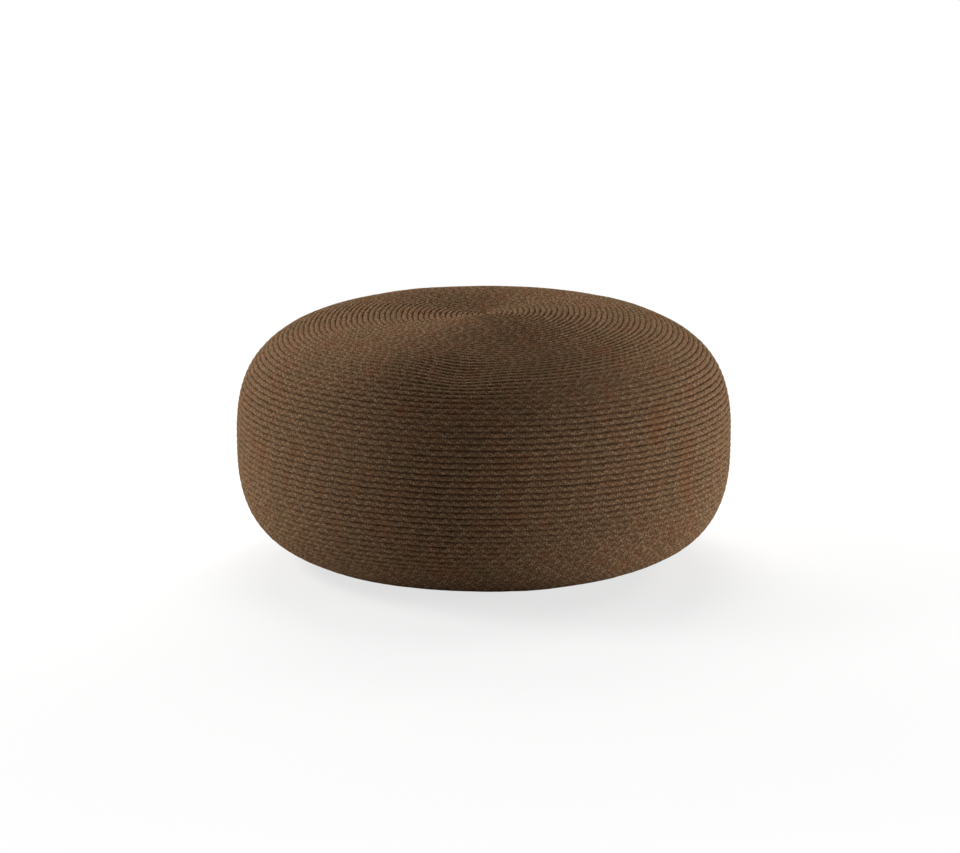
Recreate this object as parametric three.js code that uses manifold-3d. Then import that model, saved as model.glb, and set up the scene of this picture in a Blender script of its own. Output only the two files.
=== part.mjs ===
// Outdoor ottoman footstool: a round pouf covered all over by one braided cord. The cord is sewn row
// to row in a spiral, from the middle of the dished top, down the bulging side and in under the base.
// A coated mesh base with a zip closes the cover round a lined foam block.
// Millimetres, +Z up. The origin is on the floor, at the middle of the footprint. The zip runs along X.

import * as THREE from "three";
import { mergeVertices } from "three/addons/utils/BufferGeometryUtils.js";
import Module from "manifold-3d";

const wasm = await Module();
wasm.setup();

// Overall sizes
const bodyDiameter = 720;
const overallHeight = 365;
const equatorHeight = 185;

// Shape of the crown above the widest level, and of the side below it
const dishDepth = 11;
const dishRadius = 126;
const sideOverrun = 7.7;
const crownWidthPower = 3.76;
const crownHeightPower = 2.65;
const sideWidthPower = 4.09;
const sideHeightPower = 2.87;

// Cord, with its rows' pitch and groove as shares of it, because each row is sewn against the next
const cordDiameter = 8;
const crownPitchShare = 0.975;
const footPitchShare = 1.1875;
const grooveShare = 0.3;
const footCutShare = 0.1;
const footBandWidth = 30;

// Base panels and the binding over their edge
const panelThickness = 0.8;
const panelLap = 14;
const bindingWidth = 14;
const bindingThickness = 1.6;

// Zip
const tapeWidth = 14;
const tapeThickness = 0.6;
const tapeInset = 1.2;
const toothPitch = 5;
const toothThickness = 2.4;
const toothReach = 1.6;
const toothTipWidth = 2.6;
const toothRootWidth = 1.4;
const beadWidth = 2;
const stopLength = 4.5;
const topStopWidth = 3.2;

// Zip slider and its pull
const sliderLength = 17;
const sliderFlare = 1.6;
const sliderCorner = 2;
const plateThickness = 1;
const flangeThickness = 1.2;
const diamondWidth = 3.2;
const diamondTip = 1;
const archWindowHeight = 2.6;
const archWindowLength = 3;
const archThickness = 1.2;
const archWidth = 1.6;
const pullLength = 24;
const pullWidth = 8;
const pullRootWidth = 5.6;
const pullThickness = 1.4;
const pullWindowWidth = 2.4;
const pullHoleLength = 9;
const pullHoleWidth = 3;
const pullMargin = 1.5;

// Liner, wadding and foam
const linerThickness = 0.8;
const wrapThickness = 10;
const baseSlabThickness = 25;
const crownPadThickness = 45;
const coreDiameter = 460;

// Gaps, overruns of cuts, and counts
const clearance = 0.3;
const cutOverrun = 5;
const mergeGap = 0.0001;
const roundSteps = 24;
const cornerSteps = 6;
const contourSamples = 800;
const crestRounds = 6;
const crownStationShares = [0, 0.15, 0.3, 0.45, 0.58, 0.68, 0.77, 0.86, 1];
const sideStationShares = [0.2, 0.34, 0.46, 0.6, 0.78, 1];

// Sizes that follow from the ones above
const bodyRadius = bodyDiameter / 2;
const crownPitch = cordDiameter * crownPitchShare;
const footPitch = cordDiameter * footPitchShare;
const grooveDepth = cordDiameter * grooveShare;
const footCut = cordDiameter * footCutShare;
const sideDepth = equatorHeight + sideOverrun;

// Height of the crown above the widest level, at a radius
function crownHeight(radius, rise) {
  const fall = Math.max(0, 1 - (radius / bodyRadius) ** crownWidthPower);
  const dish = dishDepth * Math.exp(-((radius / dishRadius) ** 2));
  return rise * fall ** (1 / crownHeightPower) - dish;
}

// Depth of the side below the widest level, at a radius
function sideDrop(radius) {
  const fall = Math.max(0, 1 - (radius / bodyRadius) ** sideWidthPower);
  return sideDepth * fall ** (1 / sideHeightPower);
}

// Radius at which the side meets the floor
function radiusOfFoot() {
  const level = (equatorHeight + footCut) / sideDepth;
  return bodyRadius * (1 - level ** sideHeightPower) ** (1 / sideWidthPower);
}

// Rise that puts the crown's crest at the overall height
function riseOfCrown() {
  const target = overallHeight - equatorHeight;
  let rise = target;
  for (let round = 0; round < crestRounds; round += 1) {
    let crest = 0;
    for (let i = 0; i <= contourSamples; i += 1) {
      crest = Math.max(crest, crownHeight(bodyRadius * (i / contourSamples), rise));
    }
    rise += target - crest;
  }
  return rise;
}

const footRadius = radiusOfFoot();
const crownRise = riseOfCrown();
const openingRadius = footRadius - footBandWidth;

// Points of the outer contour, from the crown's middle out, down and in to the base opening, with the
// arc length so far and the outward normal of each
function sampleContour() {
  const line = [];
  for (let i = 0; i <= contourSamples; i += 1) {
    const radius = bodyRadius * Math.sin((Math.PI / 2) * (i / contourSamples));
    line.push({ radius, height: equatorHeight + crownHeight(radius, crownRise) });
  }
  const footAngle = Math.asin(footRadius / bodyRadius);
  for (let i = 1; i <= contourSamples; i += 1) {
    const angle = Math.PI / 2 - (Math.PI / 2 - footAngle) * (i / contourSamples);
    const radius = bodyRadius * Math.sin(angle);
    line.push({ radius, height: equatorHeight - sideDrop(radius) });
  }
  line.push({ radius: openingRadius, height: -footCut });
  line.forEach((point, i) => {
    const before = line[Math.max(i - 1, 0)];
    const after = line[Math.min(i + 1, line.length - 1)];
    const along = new THREE.Vector2(after.radius - before.radius, after.height - before.height).normalize();
    point.normal = i === 0 ? new THREE.Vector2(0, 1) : new THREE.Vector2(-along.y, along.x);
    const step = Math.hypot(point.radius - before.radius, point.height - before.height);
    point.arc = i === 0 ? 0 : before.arc + step;
  });
  return line;
}

const contour = sampleContour();
const equatorArc = contour[contourSamples].arc;
const footArc = contour[2 * contourSamples].arc;
const wholeArc = contour[contour.length - 1].arc;

// The contour's point at an arc length, moved inwards by a depth
function contourPoint(arc, depth) {
  let low = 0;
  let high = contour.length - 1;
  while (high - low > 1) {
    const middle = Math.floor((low + high) / 2);
    if (contour[middle].arc > arc) high = middle;
    else low = middle;
  }
  const start = contour[low];
  const end = contour[high];
  const share = Math.min(Math.max((arc - start.arc) / (end.arc - start.arc), 0), 1);
  const normal = start.normal.clone().lerp(end.normal, share).normalize();
  const radius = start.radius + (end.radius - start.radius) * share - depth * normal.x;
  const height = start.height + (end.height - start.height) * share - depth * normal.y;
  return new THREE.Vector2(radius, height);
}

// Rows of the cord: the pitch grows evenly with each turn, and the last turn ends at the opening
const nominalTurns = (2 * wholeArc) / (crownPitch + footPitch);
const turns = Math.round(nominalTurns - 1 / 2) + 1 / 2;
const pitchScale = nominalTurns / turns;

function arcAtTurn(turn) {
  const growth = (footPitch - crownPitch) / (2 * turns);
  return pitchScale * (crownPitch * turn + growth * turn ** 2);
}

const lastPitch = wholeArc - arcAtTurn(turns - 1);

// Levels above the floor, from the cord under the base up to the foam
const cordTop = cordDiameter - footCut;
const panelBottom = cordTop + clearance;
const tapeBottom = panelBottom + panelThickness + clearance;
const tapeMiddle = tapeBottom + tapeThickness / 2;
const channelHalfHeight = toothThickness / 2 + clearance;
const sliderHalfHeight = channelHalfHeight + plateThickness;
const linerBottom = tapeMiddle + sliderHalfHeight + clearance;
const linerBaseTop = linerBottom + linerThickness;
const foamBottom = linerBaseTop + clearance;
const hingeHeight = tapeMiddle - sliderHalfHeight - archWindowHeight / 2;

// Depths of the layers inside the contour
const linerDepth = cordDiameter + clearance;
const wrapDepth = linerDepth + linerThickness + clearance;
const foamDepth = wrapDepth + wrapThickness + clearance;

// Places along and across the zip
const panelRadius = openingRadius + lastPitch + panelLap;
const toothRoot = toothReach + clearance;
const beadOuter = toothRoot + beadWidth;
const tapeEdge = beadOuter - tapeInset;
const sliderRearHalf = beadOuter + clearance + flangeThickness;
const sliderFrontHalf = sliderRearHalf + sliderFlare;
const slitHalfWidth = sliderFrontHalf + 2 * clearance;
const tapeHalfLength = panelRadius - bindingWidth / 2;
const sliderHome = openingRadius - pullLength - pullMargin;
const chainReach = sliderHome + diamondTip - clearance;
const chainEnd = chainReach - toothPitch / 2;
const teethPerSide = Math.floor((chainEnd + sliderHome + sliderLength / 2) / toothPitch);
const chainStart = chainEnd - teethPerSide * toothPitch;
const sliderTravel = sliderHome - sliderLength / 2 - chainStart;
const slitHalfLength = sliderHome + sliderLength / 2 + stopLength + slitHalfWidth;
const pullTilt = Math.asin((hingeHeight - pullThickness / 2 - clearance) / pullLength);

// A closed solid from a geometry, for joins and cuts
function solidOf(geometry) {
  const plain = geometry.clone();
  plain.deleteAttribute("normal");
  plain.deleteAttribute("uv");
  const merged = mergeVertices(plain, mergeGap);
  const vertProperties = Float32Array.from(merged.attributes.position.array);
  const triVerts = Uint32Array.from(merged.index.array);
  return new wasm.Manifold(new wasm.Mesh({ numProp: 3, vertProperties, triVerts }));
}

// The geometry of a closed solid
function geometryOf(solid) {
  const mesh = solid.getMesh();
  const geometry = new THREE.BufferGeometry();
  geometry.setAttribute("position", new THREE.BufferAttribute(mesh.vertProperties, 3));
  geometry.setIndex(new THREE.BufferAttribute(mesh.triVerts, 1));
  geometry.computeVertexNormals();
  return geometry;
}

// A box between two corners
function boxBetween(low, high) {
  const size = high.clone().sub(low);
  const middle = high.clone().add(low).multiplyScalar(1 / 2);
  const geometry = new THREE.BoxGeometry(size.x, size.y, size.z);
  return geometry.translate(middle.x, middle.y, middle.z);
}

// A flat shape in X and Y, as a plate from a low to a high level
function plateOf(shape, low, high, steps = cornerSteps) {
  const geometry = new THREE.ExtrudeGeometry(shape, {
    depth: high - low,
    bevelEnabled: false,
    curveSegments: steps,
  });
  return geometry.translate(0, 0, low);
}

// A solid of revolution about Z from a profile of radius and height that runs from the axis to the
// axis, or round a ring
function turned(profile, closed) {
  const points = profile.map((point) => point.clone());
  if (THREE.ShapeUtils.isClockWise(points)) points.reverse();
  if (closed) points.push(points[0].clone());
  return new THREE.LatheGeometry(points, roundSteps).rotateX(Math.PI / 2);
}

// The contour at a depth, on the stations that all layers share, so their facets stay parallel
const stationArcs = [
  ...crownStationShares.map((share) => share * equatorArc),
  ...sideStationShares.map((share) => equatorArc + share * (footArc - equatorArc)),
];

function layerLine(depth) {
  return stationArcs.map((arc) => contourPoint(arc, depth));
}

// The point where a layer's line, coming down its side, passes a height
function pointAtHeight(line, height) {
  const i = line.findIndex((point, k) => k > 0 && point.y < height && line[k - 1].y >= height);
  const share = (line[i - 1].y - height) / (line[i - 1].y - line[i].y);
  return { index: i, point: line[i - 1].clone().lerp(line[i], share) };
}

// The point where a layer's line, turning in under the side, passes a radius
function pointAtRadius(line, radius) {
  const below = line.findIndex((point) => point.x >= bodyRadius / 2 && point.y < equatorHeight);
  const i = line.findIndex((point, k) => k > below && point.x < radius);
  const share = (line[i - 1].x - radius) / (line[i - 1].x - line[i].x);
  return { index: i, point: line[i - 1].clone().lerp(line[i], share) };
}

// A layer's line from the axis down to a height
function lineDownTo(line, height) {
  const end = pointAtHeight(line, height);
  return [...line.slice(0, end.index), end.point];
}

// A layer's line from the axis to a radius under the side, and from there straight down to a height
function lineDroppedTo(line, radius, height) {
  const end = pointAtRadius(line, radius);
  return [...line.slice(0, end.index), end.point, new THREE.Vector2(radius, height)];
}

// The stretch of a line between two heights
function lineBetween(line, high, low) {
  const start = pointAtHeight(line, high);
  const end = pointAtHeight(line, low);
  return [start.point, ...line.slice(start.index, end.index), end.point];
}

// A skin between two lines that both start on the axis
function skinBetween(outer, inner) {
  return turned([...outer, ...[...inner].reverse()], false);
}

// Lines of the layers that the base ends at
const linerOuter = lineDownTo(layerLine(linerDepth), linerBottom);
const linerInner = lineDownTo(layerLine(linerDepth + linerThickness), linerBottom);
const wrapOuter = lineDownTo(layerLine(wrapDepth), foamBottom);
const foamEdge = wrapOuter[wrapOuter.length - 1].x - wrapThickness;
const wrapInner = lineDroppedTo(layerLine(wrapDepth + wrapThickness), foamEdge, foamBottom);
const foamLine = lineDroppedTo(layerLine(foamDepth), foamEdge - clearance, foamBottom - clearance);

// Levels of the foam block
const slabTop = foamBottom + baseSlabThickness;
const padBottom = foamLine[0].y - crownPadThickness;
const coreSplit = (slabTop + padBottom) / 2;

// The cord cover's outer vertices: a ridge along each row and a groove between rows, both turning about
// Z in one spiral. Column j is at j parts of a turn, and its last column meets the first one row on.
function coverGrid() {
  const lastPoint = 2 * turns - 2;
  const columns = [];
  for (let j = 0; j < roundSteps; j += 1) {
    const extra = j === 0 ? 2 : 0;
    const column = [];
    for (let i = 0; i <= lastPoint + extra; i += 1) {
      const arc = Math.min(arcAtTurn(i / 2 + j / roundSteps), wholeArc);
      const depth = i % 2 === 0 ? 0 : grooveDepth;
      column.push(contourPoint(arc, depth));
    }
    columns.push(column);
  }
  return { columns, lastPoint };
}

// The cord cover as one closed skin: the spiral outside, a plain inside, the cord's cut end between
// them, and a small step at the middle of the top where the cord starts
function cordCover() {
  const { columns, lastPoint } = coverGrid();
  const positions = [];
  const triangles = [];
  const addPoint = (point, j) => {
    const angle = (2 * Math.PI * j) / roundSteps;
    positions.push(point.x * Math.cos(angle), point.x * Math.sin(angle), point.y);
    return positions.length / 3 - 1;
  };
  const addFan = (corners) => {
    for (let k = 1; k < corners.length - 1; k += 1) {
      triangles.push(corners[0], corners[k], corners[k + 1]);
    }
  };
  const outside = columns.map((column, j) => column.map((point) => addPoint(point, j)));
  const outer = (i, j) => (j === roundSteps ? outside[0][i + 2] : outside[j][i]);
  for (let j = 0; j < roundSteps; j += 1) {
    for (let i = 0; i < lastPoint; i += 1) {
      addFan([outer(i, j), outer(i + 1, j), outer(i + 1, j + 1), outer(i, j + 1)]);
    }
  }
  for (let j = 1; j < roundSteps; j += 1) addFan([outer(0, 0), outer(0, j), outer(0, j + 1)]);
  addFan([outer(0, 0), outer(2, 0), outer(1, 0)]);

  const insideLine = layerLine(cordDiameter);
  const last = insideLine.length;
  const edgePoint = (j) => {
    const arc = Math.min(arcAtTurn(lastPoint / 2 + j / roundSteps), wholeArc);
    return contourPoint(arc, cordDiameter);
  };
  const apex = addPoint(insideLine[0], 0);
  const inside = columns.map((column, j) => {
    const rings = insideLine.slice(1).map((point) => addPoint(point, j));
    return [apex, ...rings, addPoint(edgePoint(j), j)];
  });
  const edgeEnd = addPoint(edgePoint(roundSteps), 0);
  const inner = (k, j) => inside[j % roundSteps][k];
  for (let j = 0; j < roundSteps; j += 1) {
    addFan([apex, inner(1, j + 1), inner(1, j)]);
    for (let k = 1; k < last - 1; k += 1) {
      addFan([inner(k, j), inner(k, j + 1), inner(k + 1, j + 1), inner(k + 1, j)]);
    }
  }
  for (let j = 0; j < roundSteps - 1; j += 1) {
    addFan([inner(last - 1, j), inner(last - 1, j + 1), inner(last, j + 1), inner(last, j)]);
  }
  const seam = roundSteps - 1;
  addFan([inner(last, seam), inner(last - 1, seam), inner(last - 1, 0), inner(last, 0), edgeEnd]);

  const edge = (j) => (j === roundSteps ? edgeEnd : inner(last, j));
  for (let j = 0; j < roundSteps; j += 1) {
    addFan([outer(lastPoint, j + 1), outer(lastPoint, j), edge(j), edge(j + 1)]);
  }
  const rim = outside[0].slice(lastPoint);
  addFan([...rim, edgeEnd, edge(0)]);

  const skin = new THREE.BufferGeometry();
  skin.setAttribute("position", new THREE.Float32BufferAttribute(positions, 3));
  skin.setIndex(triangles);
  const floorLow = new THREE.Vector3(-bodyRadius, -bodyRadius, -cutOverrun);
  const floorHigh = new THREE.Vector3(bodyRadius, bodyRadius, 0);
  return geometryOf(solidOf(skin).subtract(solidOf(boxBetween(floorLow, floorHigh))));
}

// Rear half of the base: a half disc with half of the zip's slit along its straight edge
function basePanel() {
  const seam = clearance / 2;
  const slitCentre = slitHalfLength - slitHalfWidth;
  const rimAngle = Math.asin(seam / panelRadius);
  const slitAngle = Math.asin(seam / slitHalfWidth);
  const shape = new THREE.Shape();
  shape.absarc(0, 0, panelRadius, rimAngle, Math.PI - rimAngle, false);
  shape.absarc(-slitCentre, 0, slitHalfWidth, Math.PI - slitAngle, Math.PI / 2, true);
  shape.absarc(slitCentre, 0, slitHalfWidth, Math.PI / 2, slitAngle, true);
  shape.closePath();
  return plateOf(shape, panelBottom, panelBottom + panelThickness, roundSteps / 2);
}

// Binding sewn over the panels' edge, with a notch under it at each end of the zip for the tapes
function seamBinding() {
  const inner = panelRadius - bindingWidth;
  const ring = turned(
    [
      new THREE.Vector2(inner, tapeBottom),
      new THREE.Vector2(panelRadius, tapeBottom),
      new THREE.Vector2(panelRadius, tapeBottom + bindingThickness),
      new THREE.Vector2(inner, tapeBottom + bindingThickness),
    ],
    true,
  );
  const notchHalf = tapeEdge + tapeWidth + clearance;
  const notchTop = tapeBottom + tapeThickness + clearance;
  const notchReach = tapeHalfLength + clearance;
  const notch = boxBetween(
    new THREE.Vector3(-notchReach, -notchHalf, tapeBottom - cutOverrun),
    new THREE.Vector3(notchReach, notchHalf, notchTop),
  );
  return geometryOf(solidOf(ring).subtract(solidOf(notch)));
}

// Rear zip tape, in the zip's own frame: the chain along X at the middle of the tape's thickness
function zipTape() {
  return boxBetween(
    new THREE.Vector3(-tapeHalfLength, tapeEdge, -tapeThickness / 2),
    new THREE.Vector3(tapeHalfLength, tapeEdge + tapeWidth, tapeThickness / 2),
  );
}

// Slot that lets a tape's edge into what is clamped on it, on the rear side
function tapeSlot(from, to) {
  const half = tapeThickness / 2 + clearance;
  return boxBetween(
    new THREE.Vector3(from - cutOverrun, tapeEdge - clearance, -half),
    new THREE.Vector3(to + cutOverrun, tapeEdge + tapeWidth, half),
  );
}

// Rear row of zip teeth on their bead. Each tooth widens to its tip, so it locks between two of the
// other row, which lies half a pitch along.
function zipTeeth() {
  const shape = new THREE.Shape();
  shape.moveTo(chainStart, beadOuter);
  shape.lineTo(chainStart, toothRoot);
  for (let k = 0; k < teethPerSide; k += 1) {
    const middle = chainStart + toothPitch * (k + 1 / 2);
    shape.lineTo(middle - toothRootWidth / 2, toothRoot);
    shape.lineTo(middle - toothTipWidth / 2, -toothReach);
    shape.lineTo(middle + toothTipWidth / 2, -toothReach);
    shape.lineTo(middle + toothRootWidth / 2, toothRoot);
  }
  shape.lineTo(chainEnd, toothRoot);
  shape.lineTo(chainEnd, beadOuter);
  shape.closePath();
  const comb = plateOf(shape, -toothThickness / 2, toothThickness / 2);
  return geometryOf(solidOf(comb).subtract(solidOf(tapeSlot(chainStart, chainEnd))));
}

// Rear top stop, clamped on the tape's edge past the last tooth
function zipTopStop() {
  const low = new THREE.Vector3(chainReach + clearance, toothRoot, -toothThickness / 2);
  const high = new THREE.Vector3(low.x + stopLength, toothRoot + topStopWidth, toothThickness / 2);
  return geometryOf(solidOf(boxBetween(low, high)).subtract(solidOf(tapeSlot(low.x, high.x))));
}

// Bottom stop, clamped on both tapes before the first tooth
function zipBottomStop() {
  const end = chainStart - clearance;
  const low = new THREE.Vector3(end - stopLength, -beadOuter, -toothThickness / 2);
  const high = new THREE.Vector3(end, beadOuter, toothThickness / 2);
  const rearSlot = tapeSlot(low.x, high.x);
  const frontSlot = rearSlot.clone().rotateX(Math.PI);
  const block = solidOf(boxBetween(low, high));
  return geometryOf(block.subtract(solidOf(rearSlot)).subtract(solidOf(frontSlot)));
}

// Plan outline of the slider or of its channel: narrow at the throat, wider where the rows part
function sliderOutline(rearHalf, frontHalf, halfLength, corner) {
  const shape = new THREE.Shape();
  shape.moveTo(-halfLength, -rearHalf + corner);
  shape.quadraticCurveTo(-halfLength, -rearHalf, -halfLength + corner, -rearHalf);
  shape.lineTo(-sliderLength / 4, -rearHalf);
  shape.lineTo(diamondTip, -frontHalf);
  shape.lineTo(halfLength - corner, -frontHalf);
  shape.quadraticCurveTo(halfLength, -frontHalf, halfLength, -frontHalf + corner);
  shape.lineTo(halfLength, frontHalf - corner);
  shape.quadraticCurveTo(halfLength, frontHalf, halfLength - corner, frontHalf);
  shape.lineTo(diamondTip, frontHalf);
  shape.lineTo(-sliderLength / 4, rearHalf);
  shape.lineTo(-halfLength + corner, rearHalf);
  shape.quadraticCurveTo(-halfLength, rearHalf, -halfLength, rearHalf - corner);
  return shape;
}

// Wedge between the slider's plates, which parts the two rows of teeth
function sliderDiamond() {
  const half = diamondWidth / 2;
  const shape = new THREE.Shape();
  shape.moveTo(diamondTip, 0);
  shape.lineTo(sliderLength / 4, -half);
  shape.lineTo(sliderLength / 2 - sliderCorner / 2, -half);
  shape.lineTo(sliderLength / 2 - sliderCorner / 2, half);
  shape.lineTo(sliderLength / 4, half);
  const reach = channelHalfHeight + plateThickness / 2;
  return plateOf(shape, -reach, reach);
}

// Arch under the slider's lower plate, which holds the pull's bar
function sliderArch() {
  const half = archWindowLength / 2 + archThickness;
  const top = plateThickness / 2 - sliderHalfHeight;
  const windowTop = -sliderHalfHeight;
  const windowBottom = windowTop - archWindowHeight;
  const bottom = windowBottom - archThickness;
  const shoulder = windowBottom + archThickness / 2;
  const shape = new THREE.Shape();
  shape.moveTo(-half, top);
  shape.lineTo(-half, shoulder);
  shape.quadraticCurveTo(-half, bottom, -archWindowLength / 2, bottom);
  shape.lineTo(archWindowLength / 2, bottom);
  shape.quadraticCurveTo(half, bottom, half, shoulder);
  shape.lineTo(half, top);
  const hole = new THREE.Path();
  hole.moveTo(-archWindowLength / 2, windowTop);
  hole.lineTo(archWindowLength / 2, windowTop);
  hole.lineTo(archWindowLength / 2, windowBottom);
  hole.lineTo(-archWindowLength / 2, windowBottom);
  shape.holes.push(hole);
  return plateOf(shape, -archWidth / 2, archWidth / 2).rotateX(Math.PI / 2);
}

// Slider: two plates round the teeth, joined by the wedge, with side flanges that leave a slot for
// the tapes, and the arch for the pull
function zipSlider() {
  const halfLength = sliderLength / 2;
  const outline = sliderOutline(sliderRearHalf, sliderFrontHalf, halfLength, sliderCorner);
  const channelRear = sliderRearHalf - flangeThickness;
  const channelFront = sliderFrontHalf - flangeThickness;
  const channelOutline = sliderOutline(channelRear, channelFront, halfLength + cutOverrun, 0);
  const body = solidOf(plateOf(outline, -sliderHalfHeight, sliderHalfHeight));
  const channel = solidOf(plateOf(channelOutline, -channelHalfHeight, channelHalfHeight));
  const slotHalf = tapeThickness / 2 + clearance;
  const slot = boxBetween(
    new THREE.Vector3(-sliderLength, -sliderLength, -slotHalf),
    new THREE.Vector3(sliderLength, sliderLength, slotHalf),
  );
  const opened = body.subtract(channel).subtract(solidOf(slot));
  return geometryOf(opened.add(solidOf(sliderDiamond())).add(solidOf(sliderArch())));
}

// Pull, in its own frame: the hinge is the bar across the middle, and the tip points along -X
function zipPull() {
  const bar = pullThickness / 2;
  const archReach = Math.hypot(archWindowLength / 2 + archThickness, archWindowHeight / 2 + archThickness);
  const windowEnd = archReach + clearance;
  const windowHalf = pullWindowWidth / 2;
  const rootHalf = pullRootWidth / 2;
  const tipHalf = pullWidth / 2;
  const tipCentre = -pullLength + tipHalf;
  const shape = new THREE.Shape();
  shape.moveTo(bar, -rootHalf);
  shape.lineTo(bar, rootHalf);
  shape.lineTo(-windowEnd, rootHalf);
  shape.absarc(tipCentre, 0, tipHalf, Math.PI / 2, (3 * Math.PI) / 2, false);
  shape.lineTo(-windowEnd, -rootHalf);
  shape.closePath();
  const barWindow = new THREE.Path();
  barWindow.moveTo(-bar, -windowHalf);
  barWindow.lineTo(-windowEnd, -windowHalf);
  barWindow.lineTo(-windowEnd, windowHalf);
  barWindow.lineTo(-bar, windowHalf);
  const gripHole = new THREE.Path();
  const holeHalf = pullHoleWidth / 2;
  gripHole.absarc(tipCentre, 0, holeHalf, Math.PI / 2, (3 * Math.PI) / 2, false);
  gripHole.absarc(tipCentre + pullHoleLength - pullHoleWidth, 0, holeHalf, -Math.PI / 2, Math.PI / 2, false);
  shape.holes.push(barWindow, gripHole);
  return plateOf(shape, -pullThickness / 2, pullThickness / 2);
}

// Liner's top: the crown and side of the inner bag
function linerTop() {
  return skinBetween(linerOuter, linerInner);
}

// Liner's base: a disc sewn in at the bottom of the bag
function linerBase() {
  const radius = linerInner[linerInner.length - 1].x - clearance;
  return turned(
    [
      new THREE.Vector2(0, linerBottom),
      new THREE.Vector2(radius, linerBottom),
      new THREE.Vector2(radius, linerBaseTop),
      new THREE.Vector2(0, linerBaseTop),
    ],
    false,
  );
}

// Wadding over the foam's crown and side
function fibreWrap() {
  return skinBetween(wrapOuter, wrapInner);
}

// Firm slab under the block
function foamBaseSlab() {
  const side = lineBetween(foamLine, slabTop, foamBottom);
  return turned([new THREE.Vector2(0, slabTop), ...side, new THREE.Vector2(0, foamBottom)], false);
}

// Dished pad on top of the block
function foamCrownPad() {
  const side = lineDownTo(foamLine, padBottom);
  return turned([...side, new THREE.Vector2(0, padBottom)], false);
}

// Ring round the core, which gives the side its bulge
function foamRim() {
  const inner = coreDiameter / 2 + clearance;
  const high = padBottom - clearance;
  const low = slabTop + clearance;
  const side = lineBetween(foamLine, high, low);
  return turned([new THREE.Vector2(inner, high), ...side, new THREE.Vector2(inner, low)], true);
}

// One of the two stacked discs of the core
function foamCore(low, high) {
  const radius = coreDiameter / 2;
  return turned(
    [
      new THREE.Vector2(0, low),
      new THREE.Vector2(radius, low),
      new THREE.Vector2(radius, high),
      new THREE.Vector2(0, high),
    ],
    false,
  );
}

// Finishes
function finish(color, roughness, metalness = 0) {
  return new THREE.MeshStandardMaterial({ color, roughness, metalness });
}

const finishes = {
  cord: () => finish(0x70563f, 0.9),
  mesh: () => finish(0x2b2622, 0.75),
  webbing: () => finish(0x3a3029, 0.85),
  tape: () => finish(0x3b3028, 0.8),
  teeth: () => finish(0x2e2620, 0.45),
  metal: () => finish(0x6f6a63, 0.35, 0.9),
  liner: () => finish(0xd8d2c6, 0.9),
  wadding: () => finish(0xf2f0ea, 1),
  softFoam: () => finish(0xe8dfc4, 1),
  firmFoam: () => finish(0xb9b6ad, 1),
};

function piece(name, geometry, material) {
  const mesh = new THREE.Mesh(geometry, material);
  mesh.name = name;
  return mesh;
}

// The cover's own pieces: the cord, the two base panels and the binding over their edge
function coverPieces() {
  const group = new THREE.Group();
  const frontPanel = piece("base_panel_front", basePanel(), finishes.mesh());
  frontPanel.rotation.z = Math.PI;
  group.add(
    piece("cord_cover", cordCover(), finishes.cord()),
    piece("base_panel_rear", basePanel(), finishes.mesh()),
    frontPanel,
    piece("seam_binding", seamBinding(), finishes.webbing()),
  );
  return group;
}

// The zip, in a group at the level of its tapes. The front row is the rear row turned over and moved
// half a pitch along.
function zipPieces() {
  const group = new THREE.Group();
  group.position.z = tapeMiddle;
  const frontTape = piece("zip_tape_front", zipTape(), finishes.tape());
  frontTape.rotation.x = Math.PI;
  const frontTeeth = piece("zip_teeth_front", zipTeeth(), finishes.teeth());
  frontTeeth.rotation.x = Math.PI;
  frontTeeth.position.x = toothPitch / 2;
  const frontStop = piece("zip_top_stop_front", zipTopStop(), finishes.metal());
  frontStop.rotation.x = Math.PI;
  const slider = piece("zip_slider", zipSlider(), finishes.metal());
  slider.position.x = sliderHome;
  const pull = piece("zip_pull", zipPull(), finishes.metal());
  pull.position.set(sliderHome, 0, hingeHeight - tapeMiddle);
  pull.rotation.y = -pullTilt;
  group.add(
    piece("zip_tape_rear", zipTape(), finishes.tape()),
    frontTape,
    piece("zip_teeth_rear", zipTeeth(), finishes.teeth()),
    frontTeeth,
    piece("zip_top_stop_rear", zipTopStop(), finishes.metal()),
    frontStop,
    piece("zip_bottom_stop", zipBottomStop(), finishes.metal()),
    slider,
    pull,
  );
  return group;
}

// What fills the cover: the liner bag, the wadding and the foam block
function fillingPieces() {
  const group = new THREE.Group();
  group.add(
    piece("liner_top", linerTop(), finishes.liner()),
    piece("liner_base", linerBase(), finishes.liner()),
    piece("fibre_wrap", fibreWrap(), finishes.wadding()),
    piece("foam_crown_pad", foamCrownPad(), finishes.softFoam()),
    piece("foam_rim", foamRim(), finishes.softFoam()),
    piece("foam_core_upper", foamCore(coreSplit + clearance / 2, padBottom - clearance), finishes.softFoam()),
    piece("foam_core_lower", foamCore(slabTop + clearance, coreSplit - clearance / 2), finishes.softFoam()),
    piece("foam_base_slab", foamBaseSlab(), finishes.firmFoam()),
  );
  return group;
}

// Least distance from a ridge to the same cord one row on, measured on the cover's own points
function leastRowSpacing() {
  let least = Infinity;
  for (const column of coverGrid().columns) {
    for (let i = 2; i < column.length; i += 2) {
      least = Math.min(least, column[i].distanceTo(column[i - 2]));
    }
  }
  return least;
}

// Length of cord in the cover, row by row at the ridge
function cordLength() {
  let length = 0;
  for (let turn = 1; turn <= turns; turn += 1) {
    length += 2 * Math.PI * contourPoint(arcAtTurn(turn - 1 / 2), 0).x;
  }
  return length;
}

const ottoman = new THREE.Group();
ottoman.add(coverPieces(), zipPieces(), fillingPieces());

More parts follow.
